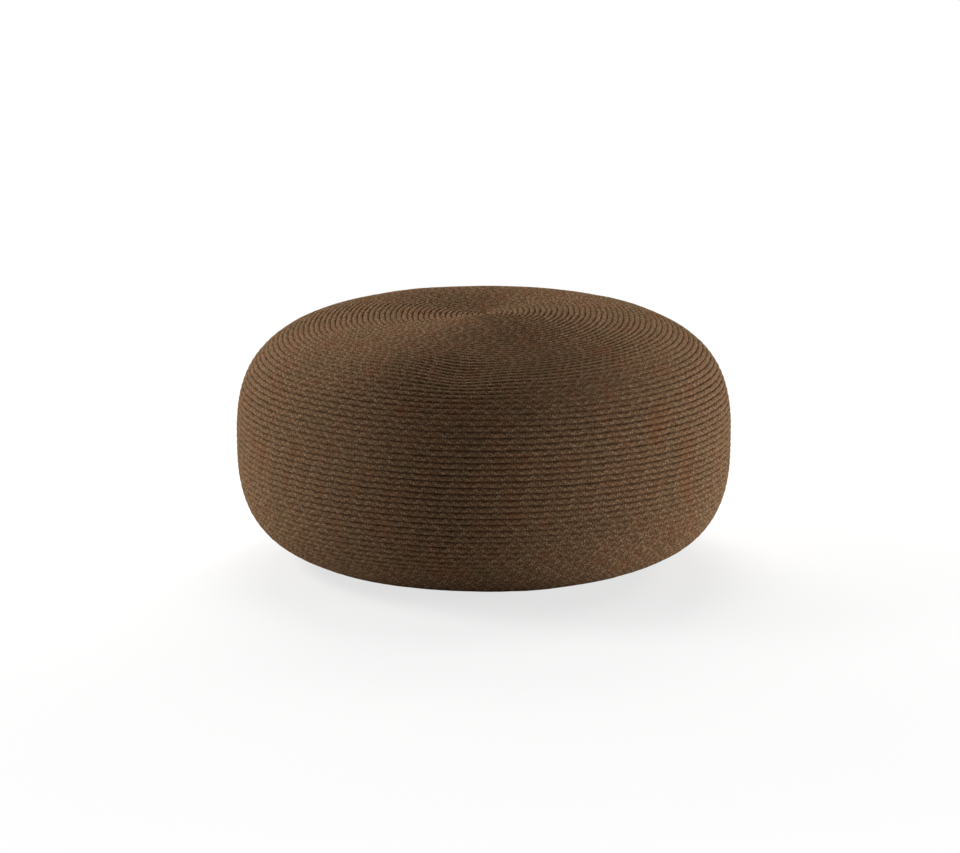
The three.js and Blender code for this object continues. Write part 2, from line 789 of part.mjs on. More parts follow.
// Facts for the record
const report = {
  turns,
  leastRowSpacing: leastRowSpacing(),
  cordLength: cordLength(),
  footRowPitch: lastPitch,
  footRadius,
  openingRadius,
  panelRadius,
  teethPerSide,
  sliderHome,
  sliderTravel,
  hingeHeight,
  pullTiltDegrees: (pullTilt * 180) / Math.PI,
};
console.log(JSON.stringify(report));

export default ottoman;
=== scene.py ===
# %% [markdown]
# # Outdoor ottoman footstool
#
# A round pouf, covered all over by one braided cord that is sewn row to row in a single spiral. The
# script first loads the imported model, which fixes every place and size, and then makes each piece's
# visible surface around it. Lengths are metres, Z is up, and the pouf stands on the floor at z = 0.

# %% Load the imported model
import math

import bmesh
import bpy
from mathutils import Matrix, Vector


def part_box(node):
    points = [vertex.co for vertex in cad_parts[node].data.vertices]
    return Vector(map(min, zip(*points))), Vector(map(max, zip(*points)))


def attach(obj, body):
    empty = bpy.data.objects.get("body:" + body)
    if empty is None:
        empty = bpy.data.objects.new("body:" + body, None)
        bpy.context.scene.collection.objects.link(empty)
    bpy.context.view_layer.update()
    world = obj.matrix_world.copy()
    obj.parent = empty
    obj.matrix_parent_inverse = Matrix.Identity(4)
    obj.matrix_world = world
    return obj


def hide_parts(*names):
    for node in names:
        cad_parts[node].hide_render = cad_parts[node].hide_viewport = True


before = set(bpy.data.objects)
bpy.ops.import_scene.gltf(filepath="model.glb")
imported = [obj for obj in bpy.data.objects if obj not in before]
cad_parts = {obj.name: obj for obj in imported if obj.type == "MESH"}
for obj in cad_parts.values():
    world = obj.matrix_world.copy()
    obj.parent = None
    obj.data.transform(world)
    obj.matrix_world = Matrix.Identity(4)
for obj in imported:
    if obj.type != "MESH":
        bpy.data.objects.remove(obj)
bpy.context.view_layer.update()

MM = 0.001
body_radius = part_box("cord_cover")[1].x
overall_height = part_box("cord_cover")[1].z
print("radius", round(body_radius, 4), "height", round(overall_height, 4), "nodes", len(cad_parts))

# %% [markdown]
# ## Camera
#
# The picture was taken with a long lens from about seven metres away, looking down by about thirteen
# degrees. A long lens keeps the round outline nearly free of perspective. The focal length follows
# from how many pixels wide the pouf is in the picture, so it is worked out here and not guessed. The
# camera aims a few millimetres beside the pouf's middle, as the photographer did.

# %% Camera
picture_width = 960
pouf_width_px = 494.0
view_distance = 7.2
look_down = math.radians(12.7)
sensor_width = 36.0
aim_aside_px = -3.85
aim_up_px = 4.9
metres_per_px = 2 * body_radius / pouf_width_px
equator_height = 0.185


def in_scene(name, data):
    """An object in the scene for a mesh, a curve, a lamp or the camera."""
    made = bpy.data.objects.new(name, data)
    bpy.context.scene.collection.objects.link(made)
    return made


def place_camera():
    camera = in_scene("camera", bpy.data.cameras.new("camera"))
    camera.data.sensor_width = sensor_width
    camera.data.lens = sensor_width * view_distance / (metres_per_px * picture_width)
    camera.data.clip_start = view_distance / 10
    camera.data.clip_end = view_distance * 20
    camera.rotation_euler = (math.pi / 2 - look_down, 0, 0)
    up = Vector((0, math.sin(look_down), math.cos(look_down)))
    back = Vector((0, -math.cos(look_down), math.sin(look_down)))
    aim = Vector((aim_aside_px * metres_per_px, 0, equator_height)) + up * (aim_up_px * metres_per_px)
    camera.location = aim + back * view_distance
    bpy.context.scene.camera = camera
    return camera


camera = place_camera()
print("lens", round(camera.data.lens, 1), "mm, camera at", [round(x, 3) for x in camera.location])

# %% [markdown]
# ## Wiring nodes
#
# Materials and Geometry Nodes are both trees of nodes. Two small classes make them short to write.
# Wires makes a node and fills its inputs with plain numbers or with other nodes' outputs. Value is
# such an output, and plus, minus, times and divide between values add the math nodes, so that a
# formula in this script reads as it would on paper.

# %% Node helpers
class Value:
    """A node's output. A formula of values adds the math nodes that work it out."""

    def __init__(self, wires, socket):
        self.wires = wires
        self.socket = socket

    def __add__(self, other):
        return self.wires.math("ADD", self, other)

    def __sub__(self, other):
        return self.wires.math("SUBTRACT", self, other)

    def __rsub__(self, other):
        return self.wires.math("SUBTRACT", other, self)

    def __mul__(self, other):
        return self.wires.math("MULTIPLY", self, other)

    def __truediv__(self, other):
        return self.wires.math("DIVIDE", self, other)

    def __rtruediv__(self, other):
        return self.wires.math("DIVIDE", other, self)


class Wires:
    """Adds nodes to a tree. Any input may be given a plain value or another node's output."""

    def __init__(self, tree, material=None):
        self.tree = tree
        self.material = material

    def feed(self, socket, value):
        if isinstance(value, Value):
            self.tree.links.new(value.socket, socket)
        else:
            socket.default_value = value

    def add(self, kind, inputs=None, **settings):
        node = self.tree.nodes.new(kind)
        for name, value in settings.items():
            setattr(node, name, value)
        for name, value in (inputs or {}).items():
            self.feed(node.inputs[name], value)
        return node

    def out(self, kind, inputs=None, output=0, **settings):
        return Value(self, self.add(kind, inputs, **settings).outputs[output])

    def math(self, operation, *values):
        return self.out("ShaderNodeMath", dict(enumerate(values)), operation=operation)

    def vector(self, operation, *values):
        return self.out("ShaderNodeVectorMath", dict(enumerate(values)), operation=operation)

    def scaled(self, vector, factor):
        return self.out("ShaderNodeVectorMath", {0: vector, "Scale": factor}, operation="SCALE")

    def joined(self, x, y, z=0.0):
        return self.out("ShaderNodeCombineXYZ", {0: x, 1: y, 2: z})

    def parts(self, vector):
        return [Value(self, socket) for socket in self.add("ShaderNodeSeparateXYZ", {0: vector}).outputs]

    def mapped(self, value, low, high, to_low, to_high):
        limits = {"Value": value, "From Min": low, "From Max": high, "To Min": to_low, "To Max": to_high}
        return self.out("ShaderNodeMapRange", limits)


# %% Geometry Nodes helpers
INPUT_KINDS = {float: "NodeSocketFloat", int: "NodeSocketInt", bpy.types.Material: "NodeSocketMaterial"}
unset_material = bpy.data.materials.new("unset")


def geometry_tree(name, **inputs):
    """A Geometry Nodes tree with a named input for each size, and those inputs' values by name."""
    tree = bpy.data.node_groups.new(name, "GeometryNodeTree")
    for way in ("INPUT", "OUTPUT"):
        tree.interface.new_socket("Geometry", in_out=way, socket_type="NodeSocketGeometry")
    for key, value in inputs.items():
        socket = tree.interface.new_socket(key, in_out="INPUT", socket_type=INPUT_KINDS[type(value)])
        socket.default_value = value
    wires = Wires(tree)
    given = wires.add("NodeGroupInput").outputs
    return tree, wires, {socket.name: Value(wires, socket) for socket in given}


def end_tree(wires, geometry, material):
    """Every tree ends alike: real geometry, smooth, with the material on it."""
    real = wires.out("GeometryNodeRealizeInstances", {0: geometry})
    smooth = wires.out("GeometryNodeSetShadeSmooth", {"Geometry": real})
    painted = wires.out("GeometryNodeSetMaterial", {"Geometry": smooth, "Material": material})
    wires.add("NodeGroupOutput", {0: painted})
    print("tree", wires.tree.name, len(wires.tree.nodes), "nodes")


def applied(piece):
    """A plain mesh of what a piece's modifiers make of it."""
    bpy.context.view_layer.update()
    return bpy.data.meshes.new_from_object(piece.evaluated_get(bpy.context.evaluated_depsgraph_get()))


def make_piece(name, start, tree, **values):
    """Runs a tree on the start object and returns the result as a plain mesh object."""
    modifier = start.modifiers.new(name, "NODES")
    modifier.node_group = tree
    sockets = {item.name: item.identifier for item in tree.interface.items_tree}
    for key, value in values.items():
        modifier[sockets[key]] = value
    mesh = applied(start)
    start.modifiers.remove(modifier)
    bpy.data.objects.remove(start)
    mesh.name = name
    print(name, len(mesh.polygons), "faces")
    return in_scene(name, mesh)


def line_object(name, points):
    """A curve object of one open line through the points."""
    curve = bpy.data.curves.new(name, "CURVE")
    curve.dimensions = "3D"
    spline = curve.splines.new("POLY")
    spline.points.add(len(points) - 1)
    for point, place in zip(spline.points, points):
        point.co = (*place, 1)
    return in_scene(name, curve)


# %% [markdown]
# ## The outline
#
# Seen from the side, the pouf has a wide shallow crown with a slight dish where people put their
# feet, a bulging side, and a foot that turns in under it. Each half follows a power curve, which is
# rounder than a box and squarer than a circle. The dish is a soft bell shape taken off the crown.

# %% Outline of the pouf
dish_depth = 11 * MM
dish_radius = 126 * MM
side_overrun = 7.7 * MM
crown_width_power = 3.76
crown_height_power = 2.65
side_width_power = 4.09
side_height_power = 2.87
cord_diameter = 8 * MM
middle_pitch = 7.8 * MM
foot_pitch = 9.5 * MM
foot_band_width = 30 * MM
foot_cut = cord_diameter / 10
outline_steps = 400


def fall(share, width_power, height_power):
    return max(0.0, 1 - share**width_power) ** (1 / height_power)


def crown_at(radius, rise):
    dish = dish_depth * math.exp(-((radius / dish_radius) ** 2))
    return rise * fall(radius / body_radius, crown_width_power, crown_height_power) - dish


def rise_of_crown():
    """The dish lowers the crown's top a little, so the rise is raised until the height is right."""
    target = overall_height - equator_height
    radii = [body_radius * i / outline_steps for i in range(outline_steps)]
    rise = target
    for _ in range(6):
        rise += target - max(crown_at(radius, rise) for radius in radii)
    return rise


def outline_points():
    """Points of the outline in the XZ plane, from the middle of the top to the base opening."""
    rise = rise_of_crown()
    side_depth = equator_height + side_overrun
    foot_drop = ((equator_height + foot_cut) / side_depth) ** side_height_power
    foot_share = (1 - foot_drop) ** (1 / side_width_power)
    foot_angle = math.asin(foot_share)
    points = []
    for i in range(outline_steps + 1):
        radius = body_radius * math.sin(math.pi / 2 * i / outline_steps)
        points.append((radius, 0, equator_height + crown_at(radius, rise)))
    for i in range(1, outline_steps + 1):
        angle = math.pi / 2 - (math.pi / 2 - foot_angle) * i / outline_steps
        drop = side_depth * fall(math.sin(angle), side_width_power, side_height_power)
        points.append((body_radius * math.sin(angle), 0, equator_height - drop))
    points.append((body_radius * foot_share - foot_band_width, 0, -foot_cut))
    return points


outline = outline_points()
outline_length = sum(math.dist(a, b) for a, b in zip(outline, outline[1:]))
nominal_turns = 2 * outline_length / (middle_pitch + foot_pitch)
spiral_turns = round(nominal_turns - 0.5) + 0.5
pitch_scale = nominal_turns / spiral_turns
print("outline", round(outline_length, 4), "m,", spiral_turns, "turns")

# %% [markdown]
# ## The cord cover
#
# The real cover is about 138 metres of braided cord. The maker starts at the middle of the top, turns
# the cord round itself and sews every new row to the one before, over a form. A designer could model
# one row and scale it, or sweep a section along a drawn spiral. Here Geometry Nodes do the second: the
# path is worked out from the outline and the distance between rows, so it stays a spiral when a size
# is changed. Each row is a rounded, slightly squashed section. Small slow noises let the rows wander
# and swell a little, as hand-guided sewing does.
#
# A filled pouf is never quite even. The rows in the picture show where its filling has settled: mostly
# in the front half of the top, by up to about two centimetres, while one place right of the middle
# stands a little proud. Each such place below is a soft bell shape: its middle, its size and its depth.

# %% Where the filling has settled
settled_spots = [
    ((0.039, -0.215, 0.35), 105 * MM, 15.5 * MM),
    ((0.15, -0.133, 0.35), 94 * MM, 9.6 * MM),
    ((-0.041, -0.279, 0.35), 54 * MM, 10.4 * MM),
    ((-0.174, -0.121, 0.35), 130 * MM, 11.3 * MM),
    ((0.216, -0.039, 0.35), 84 * MM, 7.1 * MM),
    ((-0.233, 0.0, 0.35), 73 * MM, 7 * MM),
    ((-0.093, -0.032, 0.35), 50 * MM, 3.5 * MM),
    ((0.07, 0.051, 0.35), 100 * MM, -6 * MM),
]
lump_height = 0.8 * MM
lumps_per_metre = 9.0
lump_seed = 11.0
print(len(settled_spots), "settled places")


def noise(wires, place, scale, seed, detail=1.0):
    """Soft noise between about -1 and 1."""
    inputs = {"Vector": place, "W": seed, "Scale": scale, "Detail": detail}
    return wires.mapped(wires.out("ShaderNodeTexNoise", inputs, "Fac", noise_dimensions="4D"),
                        0.25, 0.75, -1.0, 1.0)


def given_way(wires, spot):
    """How far the soft filling has settled inwards at a place: slow lumps and the settled spots."""
    settled = noise(wires, spot, lumps_per_metre, lump_seed) * -lump_height
    for middle, size, depth in settled_spots:
        away = wires.out("ShaderNodeVectorMath", {0: spot, 1: middle}, "Value", operation="DISTANCE")
        share = away / size
        settled = wires.math("EXPONENT", share * share * -1.0) * depth + settled
    return settled


# %% Path of the spiral
guide_points_per_turn = 96.0
guide_inner_radius = 20 * MM
drifts_per_metre = 6.0
rows_apart_in_noise = 19.0


def arc_at_turn(turn, inputs):
    """Distance along the outline after a number of turns: the rows widen evenly to the foot."""
    growth = (inputs["Foot Pitch"] - inputs["Middle Pitch"]) / (inputs["Turns"] * 2.0)
    return inputs["Middle Pitch"] * turn + growth * (turn * turn)


def outline_at(wires, outline_curve, arc):
    """Position and direction of the outline at a distance along it, as parts."""
    sample = wires.add("GeometryNodeSampleCurve", {"Curves": outline_curve, "Length": arc},
                       mode="LENGTH", data_type="FLOAT")
    return [wires.parts(Value(wires, sample.outputs[key])) for key in ("Position", "Tangent")]


def round_axis(wires, turn, radial, height):
    """A point or direction given by its radial and upright parts, turned round the pouf's axis."""
    angle = turn * (2 * math.pi)
    return wires.joined(radial * wires.math("COSINE", angle), radial * wires.math("SINE", angle), height)


def named(wires, key, kind="FLOAT"):
    return wires.out("GeometryNodeInputNamedAttribute", {"Name": key}, data_type=kind)


def stored(wires, geometry, key, value, kind="FLOAT", domain="POINT"):
    inputs = {"Geometry": geometry, "Name": key, "Value": value}
    return wires.out("GeometryNodeStoreNamedAttribute", inputs, data_type=kind, domain=domain)


def moved_to(wires, geometry, position):
    return wires.out("GeometryNodeSetPosition", {0: geometry, "Position": position})


def without(wires, geometry, keys):
    for key in keys:
        geometry = wires.out("GeometryNodeRemoveAttribute", {"Geometry": geometry, "Name": key})
    return geometry


def corners_joined(wires, geometry):
    return wires.out("GeometryNodeMergeByDistance", {"Geometry": geometry, "Distance": 0.001 * MM})


def guide_line(wires, inputs):
    """A spiral line in even steps, with the turns stored on it."""
    count = inputs["Turns"] * guide_points_per_turn
    line = wires.out("GeometryNodeMeshLine", {"Count": count})
    # The last point lands half a step past the last turn
    share = wires.out("GeometryNodeInputIndex") / (count - 1.5)
    line = stored(wires, line, "turn", share * inputs["Turns"])
    turn = named(wires, "turn")
    # A guide a little wider than the real spiral at its middle keeps the steps short there
    place, _ = outline_at(wires, inputs["Geometry"], arc_at_turn(turn, inputs))
    wide = wires.math("SQRT", place[0] * place[0] + guide_inner_radius**2)
    guide = moved_to(wires, line, round_axis(wires, turn, wide, place[2]))
    curve = wires.out("GeometryNodeMeshToCurve", {0: guide})
    return wires.out("GeometryNodeResampleCurve", {0: curve, "Length": inputs["Step"]}, mode="LENGTH")


def cord_path(wires, inputs):
    """The cord's centre line, with what the sweep needs stored on its points."""
    path, turn = guide_line(wires, inputs), named(wires, "turn")
    arc = arc_at_turn(turn, inputs)
    place, _ = outline_at(wires, inputs["Geometry"], arc)
    spot = round_axis(wires, turn, place[0], place[2])

    # Where the row really runs: the whole surface drifts slowly, and each row a little by itself
    drift = noise(wires, spot, drifts_per_metre, inputs["Seed"]) * inputs["Surface Wander"]
    row = wires.joined(turn * rows_apart_in_noise, 0.0)
    own = noise(wires, row, 1.0, inputs["Seed"]) * inputs["Row Wander"]
    place, along = outline_at(wires, inputs["Geometry"], arc + drift + own)
    out_axis = round_axis(wires, turn, along[2] * -1.0, along[0])
    depth = inputs["Cord Height"] / 2.0 + given_way(wires, spot)
    surface = round_axis(wires, turn, place[0], place[2])
    centre = wires.vector("SUBTRACT", surface, wires.scaled(out_axis, depth))
    growth = (inputs["Foot Pitch"] - inputs["Middle Pitch"]) / inputs["Turns"]

    across_axis = round_axis(wires, turn, along[0], along[2])
    path = stored(wires, path, "across_axis", across_axis, "FLOAT_VECTOR")
    path = stored(wires, path, "out_axis", out_axis, "FLOAT_VECTOR")
    path = stored(wires, path, "pitch", inputs["Middle Pitch"] + growth * turn)
    path = moved_to(wires, path, centre)
    so_far = wires.out("GeometryNodeSplineParameter", output="Length")
    share = wires.out("GeometryNodeSplineParameter", output="Factor")
    path = stored(wires, path, "along", so_far)
    path = stored(wires, path, "from_end", wires.math("MINIMUM", so_far, so_far / share - so_far))
    return stored(wires, path, "centre", wires.out("GeometryNodeInputPosition"), "FLOAT_VECTOR")


print("about", round(spiral_turns * guide_points_per_turn), "guide points")

# %% Section and sweep of the cord
outer_bunching = 0.06
swellings_per_metre = 30.0
swelling_seed = 5.0


def open_ring(wires, sides):
    """The section's points, numbered from 0 to 1 and closer together on the outer side."""
    ring = wires.out("GeometryNodeMeshLine", {"Count": sides + 1.0})
    step = wires.out("GeometryNodeInputIndex") / sides
    bunch = wires.math("SINE", step * (2 * math.pi)) * outer_bunching
    ring = stored(wires, ring, "around", step + bunch)
    ring = moved_to(wires, ring, wires.joined(named(wires, "around"), 0.0))
    return wires.out("GeometryNodeMeshToCurve", {0: ring})


def swept_place(wires, inputs):
    """Place of each corner of the sweep: on a rounded box, scaled to the row's own width."""
    angle = named(wires, "around") * (2 * math.pi)
    power = 2.0 / inputs["Fullness"]

    def rounded(value):
        return wires.math("SIGN", value) * wires.math("POWER", wires.math("ABSOLUTE", value), power)

    def moved(position, axis, distance):
        step = wires.scaled(named(wires, axis, "FLOAT_VECTOR"), distance)
        return wires.vector("SUBTRACT", position, step)

    swell_place = wires.joined(named(wires, "along") * swellings_per_metre, 0.0)
    swell = noise(wires, swell_place, 1.0, swelling_seed, 2.0) * inputs["Swelling"]
    near_end = wires.math("MINIMUM", named(wires, "from_end") / inputs["Cord Height"], 1.0)
    size = (swell + 0.5) * wires.math("SQRT", near_end * (2.0 - near_end))
    across = rounded(wires.math("SINE", angle)) * named(wires, "pitch") * size
    out = rounded(wires.math("COSINE", angle)) * inputs["Cord Height"] * size
    position = moved(named(wires, "centre", "FLOAT_VECTOR"), "across_axis", across)
    x, y, z = wires.parts(moved(position, "out_axis", out))
    # The rows under the foot are pressed flat by the floor
    return wires.joined(x, y, wires.math("MAXIMUM", z, 0.0))


def spiral_tree():
    tree, wires, inputs = geometry_tree("sewn_spiral", **{
        "Turns": 89.0, "Middle Pitch": middle_pitch, "Foot Pitch": foot_pitch, "Cord Height": cord_diameter,
        "Fullness": 2.15, "Step": 4.6 * MM, "Sides": 10, "Row Wander": 0.3 * MM, "Surface Wander": 0.9 * MM,
        "Swelling": 0.04, "Seed": 3.0, "Material": unset_material,
    })
    sweep = {"Curve": cord_path(wires, inputs), "Profile Curve": open_ring(wires, inputs["Sides"])}
    skin = moved_to(wires, wires.out("GeometryNodeCurveToMesh", sweep), swept_place(wires, inputs))

    # Maps: one in real lengths for the braid, and one that lays the rows side by side in a square
    turn, around = named(wires, "turn"), named(wires, "around")
    lengths = wires.joined(named(wires, "along"), around)
    skin = stored(wires, skin, "cord_map", lengths, "FLOAT2", "CORNER")
    face_turn = wires.out("GeometryNodeFieldOnDomain", {0: turn}, domain="FACE", data_type="FLOAT")
    row = wires.math("FLOOR", face_turn)
    u = wires.mapped(turn - row, -0.01, 1.01, 0.0, 1.0)
    v = (row + wires.mapped(around, 0.0, 1.0, 0.03, 0.97)) / (inputs["Turns"] + 1.0)
    skin = stored(wires, skin, "OFBake", wires.joined(u, v), "FLOAT2", "CORNER")
    skin = without(wires, skin, ("across_axis", "out_axis", "pitch", "from_end", "centre"))
    end_tree(wires, corners_joined(wires, skin), inputs["Material"])
    return tree


cord_sewing = spiral_tree()


# %% [markdown]
# ## The cord's finish
#
# The real cord is a tube braided from twenty strands, ten wound each way, of outdoor yarn. The
# strands differ in colour, so that from a little way off the pouf looks brown with tan and rusty
# flecks. A picture of a braid would repeat, so the braid is worked out instead, from the piece's own
# map: the distance along the cord and the way round it. Two slanted counts, p and q, number the
# strands of each direction, and whether their whole parts add up to an even number says which
# strand is on top. The same numbers give each strand's colour and its rounded height for the bump.

# %% Shader helpers
def new_material(name):
    """The wires of a new material's empty tree."""
    material = bpy.data.materials.new(name)
    material.use_nodes = True
    material.node_tree.nodes.clear()
    return Wires(material.node_tree, material)


def finished(wires, **inputs):
    """Ends a material. Plain numbers stay on the shader's own sockets."""
    shader = {key.replace("_", " "): value for key, value in inputs.items()}
    wires.add("ShaderNodeOutputMaterial", {"Surface": wires.out("ShaderNodeBsdfPrincipled", shader)})
    print("material", wires.material.name, len(wires.tree.nodes), "nodes")
    return wires.material


def srgb(red, green, blue):
    """A colour written as 0 to 255, as the eye sees it, in the linear numbers that Blender uses."""
    linear = []
    for value in (red, green, blue):
        share = value / 255
        linear.append(share / 12.92 if share <= 0.04045 else ((share + 0.055) / 1.055) ** 2.4)
    return (*linear, 1.0)


def colour_ramp(wires, share, stops, stepped=False):
    node = wires.add("ShaderNodeValToRGB", {"Fac": share})
    ramp = node.color_ramp
    ramp.interpolation = "CONSTANT" if stepped else "LINEAR"
    while len(ramp.elements) < len(stops):
        ramp.elements.new(1.0)
    for element, (place, colour) in zip(ramp.elements, stops):
        element.position = place
        element.color = colour
    return Value(wires, node.outputs["Color"])


def colour_mix(wires, share, first, second):
    return wires.out("ShaderNodeMix", {0: share, 6: first, 7: second}, 2, data_type="RGBA")


def number_mix(wires, share, first, second):
    return wires.out("ShaderNodeMix", {0: share, 2: first, 3: second}, data_type="FLOAT")


def surface_noise(wires, place, scale, detail=2.0, roughness=0.5, output="Fac"):
    inputs = {"Vector": place, "Scale": scale, "Detail": detail, "Roughness": roughness}
    return wires.out("ShaderNodeTexNoise", inputs, output)


def object_place(wires):
    return wires.out("ShaderNodeTexCoord", output="Object")


def bumped(wires, height, depth):
    return wires.out("ShaderNodeBump", {"Height": height, "Distance": depth, "Strength": 1.0})


# %% Braided cord
yarn_mean = srgb(112, 86, 63)
yarn_rust = srgb(122, 80, 53)
yarn_olive = srgb(104, 89, 61)
yarns = [srgb(127, 98, 76), srgb(80, 59, 41), srgb(167, 140, 115), srgb(98, 74, 54),
         srgb(129, 82, 53), srgb(108, 95, 74), srgb(70, 53, 39), srgb(145, 118, 92)]
diamond_length = 3.6 * MM
diamonds_round = 10.0
strand_roundness = -3.8
strand_dip = 2.6
braid_depth = 0.55 * MM
fibre_fineness = 8.0
fibre_stretch = 0.6
fibre_shift = 3.7
fibre_height = 0.25
yarn_shift = 5.0
patches_per_metre = 26.0


def braided_cord(name):
    wires = new_material(name)
    along, around, _ = wires.parts(wires.out("ShaderNodeUVMap", uv_map="cord_map"))
    a, b = along / diamond_length, around * diamonds_round
    p, q = a + b, a - b
    p_strand, q_strand = wires.math("FLOOR", p), wires.math("FLOOR", q)
    p_top = wires.math("PINGPONG", p_strand + q_strand, 1.0)
    p_part, q_part = wires.math("FRACT", p) - 0.5, wires.math("FRACT", q) - 0.5
    across = number_mix(wires, p_top, q_part, p_part)
    run = number_mix(wires, p_top, p_part, q_part)

    # Height: round across the strand, dipping where it goes under the next one, with fine fibres
    round_over = wires.math("SQRT", across * across * strand_roundness + 1.0)
    fibre_run = run * fibre_stretch + (p_strand + q_strand) * fibre_shift
    fibre_place = wires.joined(across * fibre_fineness, fibre_run)
    fibres = surface_noise(wires, fibre_place, 1.0)
    height = fibres * fibre_height + round_over * wires.math("COSINE", run * strand_dip)

    # Colour: by strand, then by the yarn's own unevenness, then darker where the strand runs low, which is
    # painted shade
    strand = number_mix(wires, p_top, q_strand + yarn_shift, p_strand)
    number = wires.math("FLOORED_MODULO", strand, diamonds_round)
    stops = [(k / len(yarns), yarn) for k, yarn in enumerate(yarns)]
    by_strand = colour_ramp(wires, (number + 0.5) / diamonds_round, stops, stepped=True)
    base = colour_mix(wires, 0.5, by_strand, yarn_mean)
    warm = surface_noise(wires, object_place(wires), patches_per_metre, 3.0)
    base = colour_mix(wires, wires.mapped(warm, 0.5, 0.75, 0.0, 0.45), base, yarn_rust)
    base = colour_mix(wires, wires.mapped(warm, 0.5, 0.25, 0.0, 0.4), base, yarn_olive)
    cell = wires.joined(p_strand, q_strand)
    chance = wires.out("ShaderNodeTexWhiteNoise", {"Vector": cell}, "Value", noise_dimensions="3D")
    lift = wires.mapped(chance, 0.0, 1.0, 0.72, 1.31) * wires.mapped(fibres, 0.3, 0.7, 0.75, 1.25)
    # Painted shade: the colour darkens where the braid's height is low, at each strand's edges and where it
    # dips under the next
    lift = lift * wires.mapped(height, 0.1, 1.0, 0.42, 1.12)
    rough = wires.mapped(fibres, 0.0, 1.0, 0.74, 0.9)
    return finished(wires, Base_Color=wires.scaled(base, lift), Roughness=rough,
                    Normal=bumped(wires, height, braid_depth), Specular_IOR_Level=0.0)


# %% Sew the cover
def belongs(piece, node, body="pouf"):
    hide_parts(node)
    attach(piece, body)


cover = make_piece("sewn_cord_cover", line_object("outline", outline), cord_sewing, **{
    "Turns": spiral_turns - 0.5,
    "Middle Pitch": middle_pitch * pitch_scale,
    "Foot Pitch": foot_pitch * pitch_scale,
    "Material": braided_cord("braided outdoor cord"),
})
belongs(cover, "cord_cover")

# %% [markdown]
# ## Layers inside
#
# Under the cord are a thin liner bag, ten millimetres of wadding and a foam block in five glued
# pieces. None of them shows from outside, but a cover that comes off has to have them. All are
# turned shapes, so one tree makes them: it carries a profile round the axis. A point of the profile
# keeps, as its radius, one more than the share by which it follows the settled filling. The bag and
# the wadding's outside follow it in full, so they give way together with the cord, the wadding's
# inside and the top foam pad follow by a part, as soft layers do, and the rest keeps its cut shape.

# %% Profiles of the layers
profile_steps = 70


def offset_line(depth):
    """The outline moved inwards by a depth, as evenly spaced (radius, height) points."""
    moved = []
    for before, at, after in zip(outline, outline[1:], outline[2:]):
        along, up = after[0] - before[0], after[2] - before[2]
        length = math.hypot(along, up)
        moved.append((at[0] + up / length * depth, at[2] - along / length * depth))
    moved = [(0.0, moved[0][1])] + [point for point in moved if point[0] > 0]
    lengths = [0.0]
    for a, b in zip(moved, moved[1:]):
        lengths.append(lengths[-1] + math.dist(a, b))
    even, k = [], 0
    for i in range(profile_steps + 1):
        wanted = lengths[-1] * i / profile_steps
        while k < len(lengths) - 2 and lengths[k + 1] < wanted:
            k += 1
        share = (wanted - lengths[k]) / (lengths[k + 1] - lengths[k])
        even.append(tuple(a + (b - a) * share for a, b in zip(moved[k], moved[k + 1])))
    return even


def between_heights(line, high, low):
    """The part of a line, coming down, between two heights, with points exactly on both."""
    kept = []
    for a, b in zip(line, line[1:]):
        for height in (high, low):
            if a[1] > height >= b[1]:
                share = (a[1] - height) / (a[1] - b[1])
                kept.append((a[0] + (b[0] - a[0]) * share, height))
        if low < b[1] < high and (a[1] > b[1] or kept):
            kept.append(b)
    return sorted(set(kept), key=lambda point: -point[1])


def down_to(line, low):
    """A line from the axis over the crown and down to a height."""
    crest = max(range(len(line)), key=lambda i: line[i][1])
    return line[:crest] + between_heights(line[crest:], line[crest][1] + MM, low)


def stepped_in(line, radius, low):
    """A line from the axis, round under the side to a radius, and straight down from there."""
    widest = max(range(len(line)), key=lambda i: line[i][0])
    kept = line[:widest] + [point for point in line[widest:] if point[0] > radius]
    return kept + [(radius, kept[-1][1]), (radius, low)]


print("profiles of", profile_steps, "steps")

# %% One tree for every turned piece
def turned_tree():
    tree, wires, inputs = geometry_tree("turned_piece", Steps=192, Material=unset_material)
    place = wires.parts(wires.out("GeometryNodeInputPosition"))
    profile = stored(wires, inputs["Geometry"], "out", place[0])
    profile = stored(wires, profile, "up", place[2])
    profile = stored(wires, profile, "follows", wires.out("GeometryNodeInputRadius") - 1.0)
    size = {"Resolution": inputs["Steps"], "Radius": 1.0}
    ring = wires.out("GeometryNodeCurvePrimitiveCircle", size, "Curve")
    ring = stored(wires, ring, "turn", wires.out("GeometryNodeInputIndex") / inputs["Steps"])
    skin = wires.out("GeometryNodeCurveToMesh", {"Curve": ring, "Profile Curve": profile})
    place = round_axis(wires, named(wires, "turn"), named(wires, "out"), named(wires, "up"))
    skin = corners_joined(wires, moved_to(wires, skin, place))
    give = given_way(wires, wires.out("GeometryNodeInputPosition")) * named(wires, "follows")
    inwards = wires.scaled(wires.out("GeometryNodeInputNormal"), give * -1.0)
    skin = wires.out("GeometryNodeSetPosition", {0: skin, "Offset": inwards})
    end_tree(wires, without(wires, skin, ("out", "up", "follows", "turn")), inputs["Material"])
    return tree


turned = turned_tree()
sharp_angle = math.radians(40)


def faces_out(mesh):
    """Turns a closed mesh the right way round if its volume comes out negative."""
    mesh.calc_loop_triangles()
    volume = 0.0
    for triangle in mesh.loop_triangles:
        a, b, c = (mesh.vertices[i].co for i in triangle.vertices)
        volume += a.dot(b.cross(c)) / 6
    if volume < 0:
        print("turned round")
        mesh.flip_normals()
    return abs(volume)


